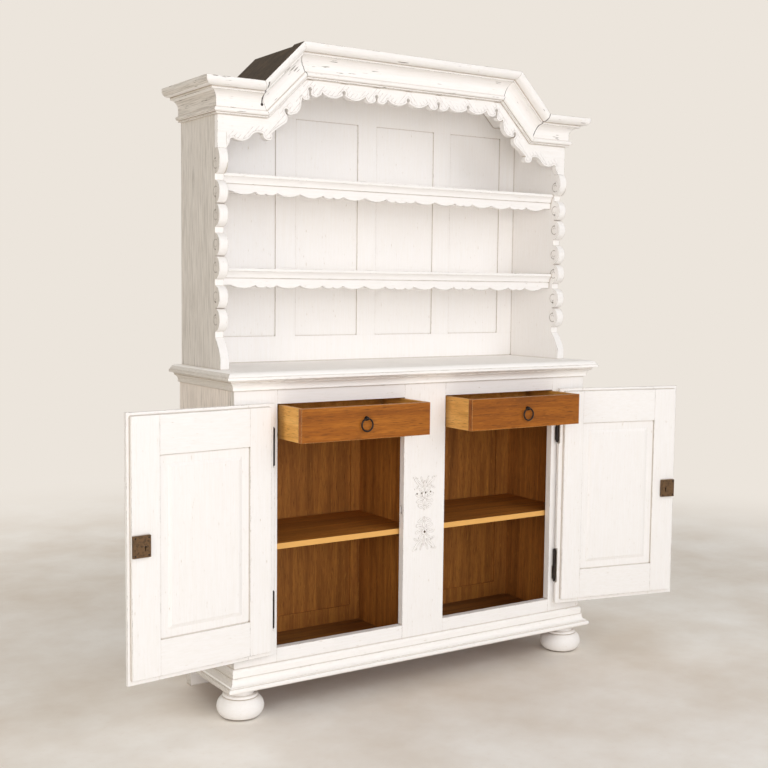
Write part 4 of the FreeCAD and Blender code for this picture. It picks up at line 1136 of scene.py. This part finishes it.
@dataclass
class ScrewHeads:
    """Small round screw heads set at points, in millimetres."""

    radius: float
    height: float
    jitter: float = 0.08
    sides: int = 10
    rings: int = 6

    def tree(self) -> Tree:
        """Builds the tree that sets a head at each point of a mesh, turned to the way the point faces.

        Returns:
            The geometry tree.
        """
        tree = bpy.data.node_groups.new("heads_on_points", "GeometryNodeTree")
        for name, kind in (("Geometry", "Geometry"), ("Head radius", "Float"), ("Head height", "Float"),
                           ("Size jitter", "Float"), ("Seed", "Int"), ("Finish", "Material")):
            tree.interface.new_socket(name, in_out="INPUT", socket_type="NodeSocket" + kind)
        tree.interface.new_socket("Geometry", in_out="OUTPUT", socket_type="NodeSocketGeometry")
        given = add_node(tree, "NodeGroupInput").outputs
        flat = sums(tree, "DIVIDE", given["Head height"], given["Head radius"])
        squash = add_node(tree, "ShaderNodeCombineXYZ", {0: 1.0, 1: 1.0, 2: flat}).outputs[0]
        ball = add_node(tree, "GeometryNodeMeshUVSphere", {
            "Segments": self.sides, "Rings": self.rings, "Radius": given["Head radius"]}).outputs["Mesh"]
        head = add_node(tree, "GeometryNodeTransform", {"Geometry": ball, "Scale": squash}).outputs[0]
        low = sums(tree, "SUBTRACT", 1.0, given["Size jitter"])
        high = sums(tree, "ADD", 1.0, given["Size jitter"])
        size = add_node(tree, "FunctionNodeRandomValue", {
            "Min": low, "Max": high, "Seed": given["Seed"]}, data_type="FLOAT")
        way = add_node(tree, "GeometryNodeInputNamedAttribute", {"Name": "facing"}, data_type="FLOAT_VECTOR")
        aim = add_node(tree, "FunctionNodeAlignRotationToVector", {"Vector": way.outputs["Attribute"]},
                       axis="Z")
        heads = add_node(tree, "GeometryNodeInstanceOnPoints", {
            "Points": given["Geometry"], "Instance": head, "Rotation": aim.outputs["Rotation"],
            "Scale": size.outputs["Value"]}).outputs["Instances"]
        real = add_node(tree, "GeometryNodeRealizeInstances", {"Geometry": heads}).outputs["Geometry"]
        done = add_node(tree, "GeometryNodeSetMaterial", {"Geometry": real, "Material": given["Finish"]})
        add_node(tree, "NodeGroupOutput", {"Geometry": done.outputs["Geometry"]})
        return tree

    def set_at(self, name: str, places: list[tuple[Vector, Vector]], finish: Finish, body: str,
               seed: int) -> None:
        """Sets a head at each place and leaves one plain mesh.

        Args:
            name: the piece's name.
            places: each head's place and the way it faces.
            finish: the heads' finish.
            body: the body they ride on.
            seed: the seed of the sizes' small differences.
        """
        points = bpy.data.meshes.new(name + "_points")
        points.from_pydata([place for place, _ in places], [], [])
        facing = points.attributes.new("facing", "FLOAT_VECTOR", "POINT")
        facing.data.foreach_set("vector", [number for _, way in places for number in way])
        holder = bpy.data.objects.new(name + "_points", points)
        bpy.context.scene.collection.objects.link(holder)
        modifier = holder.modifiers.new("heads", "NODES")
        modifier.node_group = self.tree()
        values = {"Head radius": self.radius * MM, "Head height": self.height * MM,
                  "Size jitter": self.jitter, "Seed": seed, "Finish": material_of(finish)}
        for item in modifier.node_group.interface.items_tree:
            if item.in_out == "INPUT" and item.name in values:
                modifier[item.identifier] = values[item.name]
        depsgraph = bpy.context.evaluated_depsgraph_get()
        mesh = bpy.data.meshes.new_from_object(holder.evaluated_get(depsgraph))
        bpy.data.objects.remove(holder)
        mesh.name = name
        settle(name, mesh, finish, body)


@dataclass
class Body:
    """The cupboard below: base, carcass, counter and its shelves."""

    def build(self) -> None:
        """Dresses the cupboard's nodes."""
        dress(CARCASS_SIDE, "body_side_left", "body_side_right")
        dress(OUTER_STILE, "outer_stiles")
        dress(CENTRE_STILE, "centre_stile")
        dress(FACE_RAIL, "bottom_rails", "top_rails")
        dress(MOULDING, "base_moulding", "counter_edge", "counter_board", "bed_moulding", "block_feet")
        dress(TURNED, "bun_feet")
        dress(DRY_OAK_UP, "partition")
        dress(BACK_OAK, "body_back_frame", "body_back_panels")
        dress(DRY_OAK_LEVEL, "base_board", "floor_board", "shelf_cleats", "drawer_runners", "drawer_kickers")
        dress(SHELF_OAK, "compartment_shelves")


@dataclass
class Rack:
    """The open rack above the counter, with its fascia, cornice and roof."""

    def build(self) -> None:
        """Dresses the rack's nodes."""
        dress(RACK_SIDE, "hutch_side_left", "hutch_side_right")
        dress(RACK_BACK, "hutch_back_frame", "hutch_back_panels")
        dress(LEVEL, "hutch_shelf_lower", "hutch_shelf_upper", "apron_lower", "apron_upper", "arch_fascia")
        dress(CORNICE, "cornice_flats", "cornice_crest")
        dress(CORNICE_SLOPE, "cornice_slopes")
        dress(CORNICE_RETURN, "cornice_returns")
        dress(ROOF, "roof_boards")


@dataclass
class Doors:
    """Both doors with their hinges and locks, in millimetres and degrees open."""

    hinge_out: float = 568.0
    hinge_forward: float = 10.0
    hinge_depth: float = 2.0
    angles: tuple[float, float] = (174.5, 168.0)
    case_start: float = 425.5
    case_width: float = 54.0
    case_low: float = 560.0
    case_height: float = 62.0
    case_face: float = 31.0
    screw_inset: float = 6.0
    screw_radius: float = 2.6
    screw_height: float = 1.0

    def build(self) -> None:
        """Dresses the doors' nodes and sets the screws of the locks."""
        for side in ("left", "right"):
            dress(UPRIGHT, f"{side}_door_stiles", f"{side}_door_panel")
            dress(LEVEL, f"{side}_door_rails")
            dress(BLACK_IRON, f"{side}_hinge_leaves", f"{side}_escutcheon")
            dress(RUSTED_IRON, f"{side}_lock_case", f"{side}_lock_bolt")
        dress(BLACK_IRON, "hinge_frame_leaves", "hinge_pins")
        self.screws()

    def screws(self) -> None:
        """Sets four screws in each lock's case."""
        front = body_front()
        heads = ScrewHeads(self.screw_radius, self.screw_height)
        for side, sign, angle in (("left", -1.0, self.angles[0]), ("right", 1.0, self.angles[1])):
            turn = math.radians(angle)
            along = Vector((-sign * math.cos(turn), -math.sin(turn), 0.0))
            inward = Vector((-sign * math.sin(turn), math.cos(turn), 0.0))
            hinge = Vector((front.x + sign * self.hinge_out * MM, front.y - self.hinge_forward * MM, 0.0))
            places = []
            for reach in (self.screw_inset, self.case_width - self.screw_inset):
                for rise in (self.screw_inset, self.case_height - self.screw_inset):
                    spot = hinge + along * (self.case_start + reach) * MM
                    spot += inward * (self.case_face - self.hinge_depth) * MM
                    spot.z = (self.case_low + rise) * MM
                    places.append((spot, inward))
            heads.set_at(f"{side}_lock_screws", places, BLACK_IRON, f"{side}_door", seed=3)


@dataclass
class Drawers:
    """Both drawers with their ring pulls."""

    def build(self) -> None:
        """Dresses the drawers' nodes."""
        for side in ("left", "right"):
            dress(WAXED_OAK, f"{side}_drawer_front")
            dress(DRAWER_SIDE_OAK, f"{side}_drawer_box")
            dress(BLACK_IRON, f"{side}_pull_post", f"{side}_pull_ring")


@dataclass(frozen=True)
class Lamp:
    """A round lamp that shines at the hutch: its place and size in metres, its power in watts."""

    name: str
    place: tuple[float, float, float]
    size: float
    power: float
    tint: str

    def hang(self, target: Vector) -> None:
        """Hangs the lamp.

        Args:
            target: what it shines at.
        """
        lamp = bpy.data.lights.new(self.name, "AREA")
        lamp.shape, lamp.size, lamp.energy = "DISK", self.size, self.power
        lamp.color = colour(self.tint)[:3]
        thing = bpy.data.objects.new(self.name, lamp)
        thing.location = self.place
        thing.rotation_euler = (target - Vector(self.place)).to_track_quat("-Z", "Y").to_euler()
        bpy.context.scene.collection.objects.link(thing)


@dataclass
class Studio:
    """Floor, daylight and the camera at the photograph's place, in metres and degrees."""

    camera_place: tuple[float, float, float] = (-2.2257, -3.1471, 1.3233)
    yaw_degrees: float = 33.232
    pitch_degrees: float = -4.776
    roll_degrees: float = 0.620
    lens: float = 55.18
    sensor: float = 36.0
    far: float = 60.0
    floor_half: float = 30.0
    floor_light: str = "F9F5EE"
    floor_dark: str = "E3D8CA"
    cloud_per_metre: float = 1.6
    speck_per_metre: float = 42.0
    backdrop: str = "ECE5DC"
    fill_colour: str = "F7F5F2"
    fill_strength: float = 0.52
    fade_start: float = 1.9
    fade_end: float = 4.4
    lit_height: float = 0.95
    # A broad window to the right of the camera, and softer panels beside and behind
    lamps: tuple[Lamp, ...] = (
        Lamp("window", (1.5, -4.4, 3.7), 3.6, 78.0, "F4F6FC"),
        Lamp("camera_panel", (-2.3, -5.2, 1.5), 2.6, 90.0, "F6F8FF"),
        Lamp("side_panel", (-4.8, -2.8, 1.9), 2.2, 38.0, "FFF6EA"),
        Lamp("rear_panel", (-1.0, 4.6, 2.8), 2.5, 40.0, "FFFAF4"))

    def build(self) -> None:
        """Makes the floor, the lights and the camera."""
        self.floor()
        self.world()
        for lamp in self.lamps:
            lamp.hang(Vector((0.0, 0.0, self.lit_height)))
        self.camera()
        bpy.context.scene.view_settings.view_transform = "Standard"

    def floor(self) -> None:
        """Lays a pale screed, cloudy and faintly specked, that fades into the backdrop far from the hutch."""
        mesh = bpy.data.meshes.new("floor")
        half = self.floor_half
        mesh.from_pydata([(-half, -half, 0), (half, -half, 0), (half, half, 0), (-half, half, 0)], [],
                         [(0, 1, 2, 3)])
        floor = bpy.data.objects.new("floor", mesh)
        bpy.context.scene.collection.objects.link(floor)
        material, tree, output = blank_material("pale_screed")
        place = object_place(tree)
        clouds = noise(tree, place, self.cloud_per_metre, 5.0)
        specks = noise(tree, place, self.speck_per_metre, 6.0, 0.7)
        tone = blend(tree, spread(tree, clouds, 0.35, 0.68), self.floor_light, self.floor_dark)
        tone = blend(tree, spread(tree, specks, 0.55, 0.75, 0.0, 0.35), tone, self.floor_dark)
        stone = add_node(tree, "ShaderNodeBsdfPrincipled", {"Base Color": tone, "Roughness": 0.7})
        away = add_node(tree, "ShaderNodeVectorMath", {0: place}, operation="LENGTH").outputs["Value"]
        faded = add_node(tree, "ShaderNodeMapRange", {
            "Value": away, "From Min": self.fade_start, "From Max": self.fade_end},
            interpolation_type="SMOOTHSTEP").outputs["Result"]
        seen = add_node(tree, "ShaderNodeLightPath").outputs["Is Camera Ray"]
        gone = sums(tree, "MULTIPLY", faded, seen)
        glow = add_node(tree, "ShaderNodeEmission", {"Color": colour(self.backdrop), "Strength": 1.0})
        mixed = add_node(tree, "ShaderNodeMixShader", {
            0: gone, 1: stone.outputs["BSDF"], 2: glow.outputs["Emission"]})
        tree.links.new(mixed.outputs["Shader"], output.inputs["Surface"])
        mesh.materials.append(material)

    def world(self) -> None:
        """Fills the room with even light and shows the backdrop's colour behind."""
        world = bpy.data.worlds.new("studio")
        world.use_nodes = True
        bpy.context.scene.world = world
        tree = world.node_tree
        tree.nodes.clear()
        path = add_node(tree, "ShaderNodeLightPath").outputs
        seen = sums(tree, "MAXIMUM", path["Is Camera Ray"], path["Is Glossy Ray"])
        fill = add_node(tree, "ShaderNodeBackground", {
            "Color": colour(self.fill_colour), "Strength": self.fill_strength})
        behind = add_node(tree, "ShaderNodeBackground", {"Color": colour(self.backdrop), "Strength": 1.0})
        mixed = add_node(tree, "ShaderNodeMixShader", {
            0: seen, 1: fill.outputs["Background"], 2: behind.outputs["Background"]})
        add_node(tree, "ShaderNodeOutputWorld", {"Surface": mixed.outputs["Shader"]})

    def camera(self) -> None:
        """Sets the camera where the photograph was taken from."""
        degrees = (self.yaw_degrees, self.pitch_degrees, self.roll_degrees)
        yaw, pitch, roll = (math.radians(angle) for angle in degrees)
        forward = Vector((math.sin(yaw) * math.cos(pitch), math.cos(yaw) * math.cos(pitch), math.sin(pitch)))
        level = Vector((math.cos(yaw), -math.sin(yaw), 0.0))
        upward = level.cross(forward)
        right = level * math.cos(roll) + upward * math.sin(roll)
        above = upward * math.cos(roll) - level * math.sin(roll)
        data = bpy.data.cameras.new("camera")
        data.lens, data.sensor_width, data.clip_end = self.lens, self.sensor, self.far
        camera = bpy.data.objects.new("camera", data)
        axes = Matrix((right, above, -forward)).transposed()
        camera.matrix_world = Matrix.Translation(body_front() + Vector(self.camera_place)) @ axes.to_4x4()
        bpy.context.scene.collection.objects.link(camera)
        bpy.context.scene.camera = camera


def main() -> None:
    """Dresses the hutch, carves it and lights it."""
    logging.basicConfig(level=logging.INFO, format="%(message)s")
    for part in (Body(), Rack(), Doors(), Drawers(), Palmettes(), Volutes(), ArchFoliage(), Studio()):
        part.build()
        LOG.info("built %s", type(part).__name__)


if __name__ == "__main__":
    main()
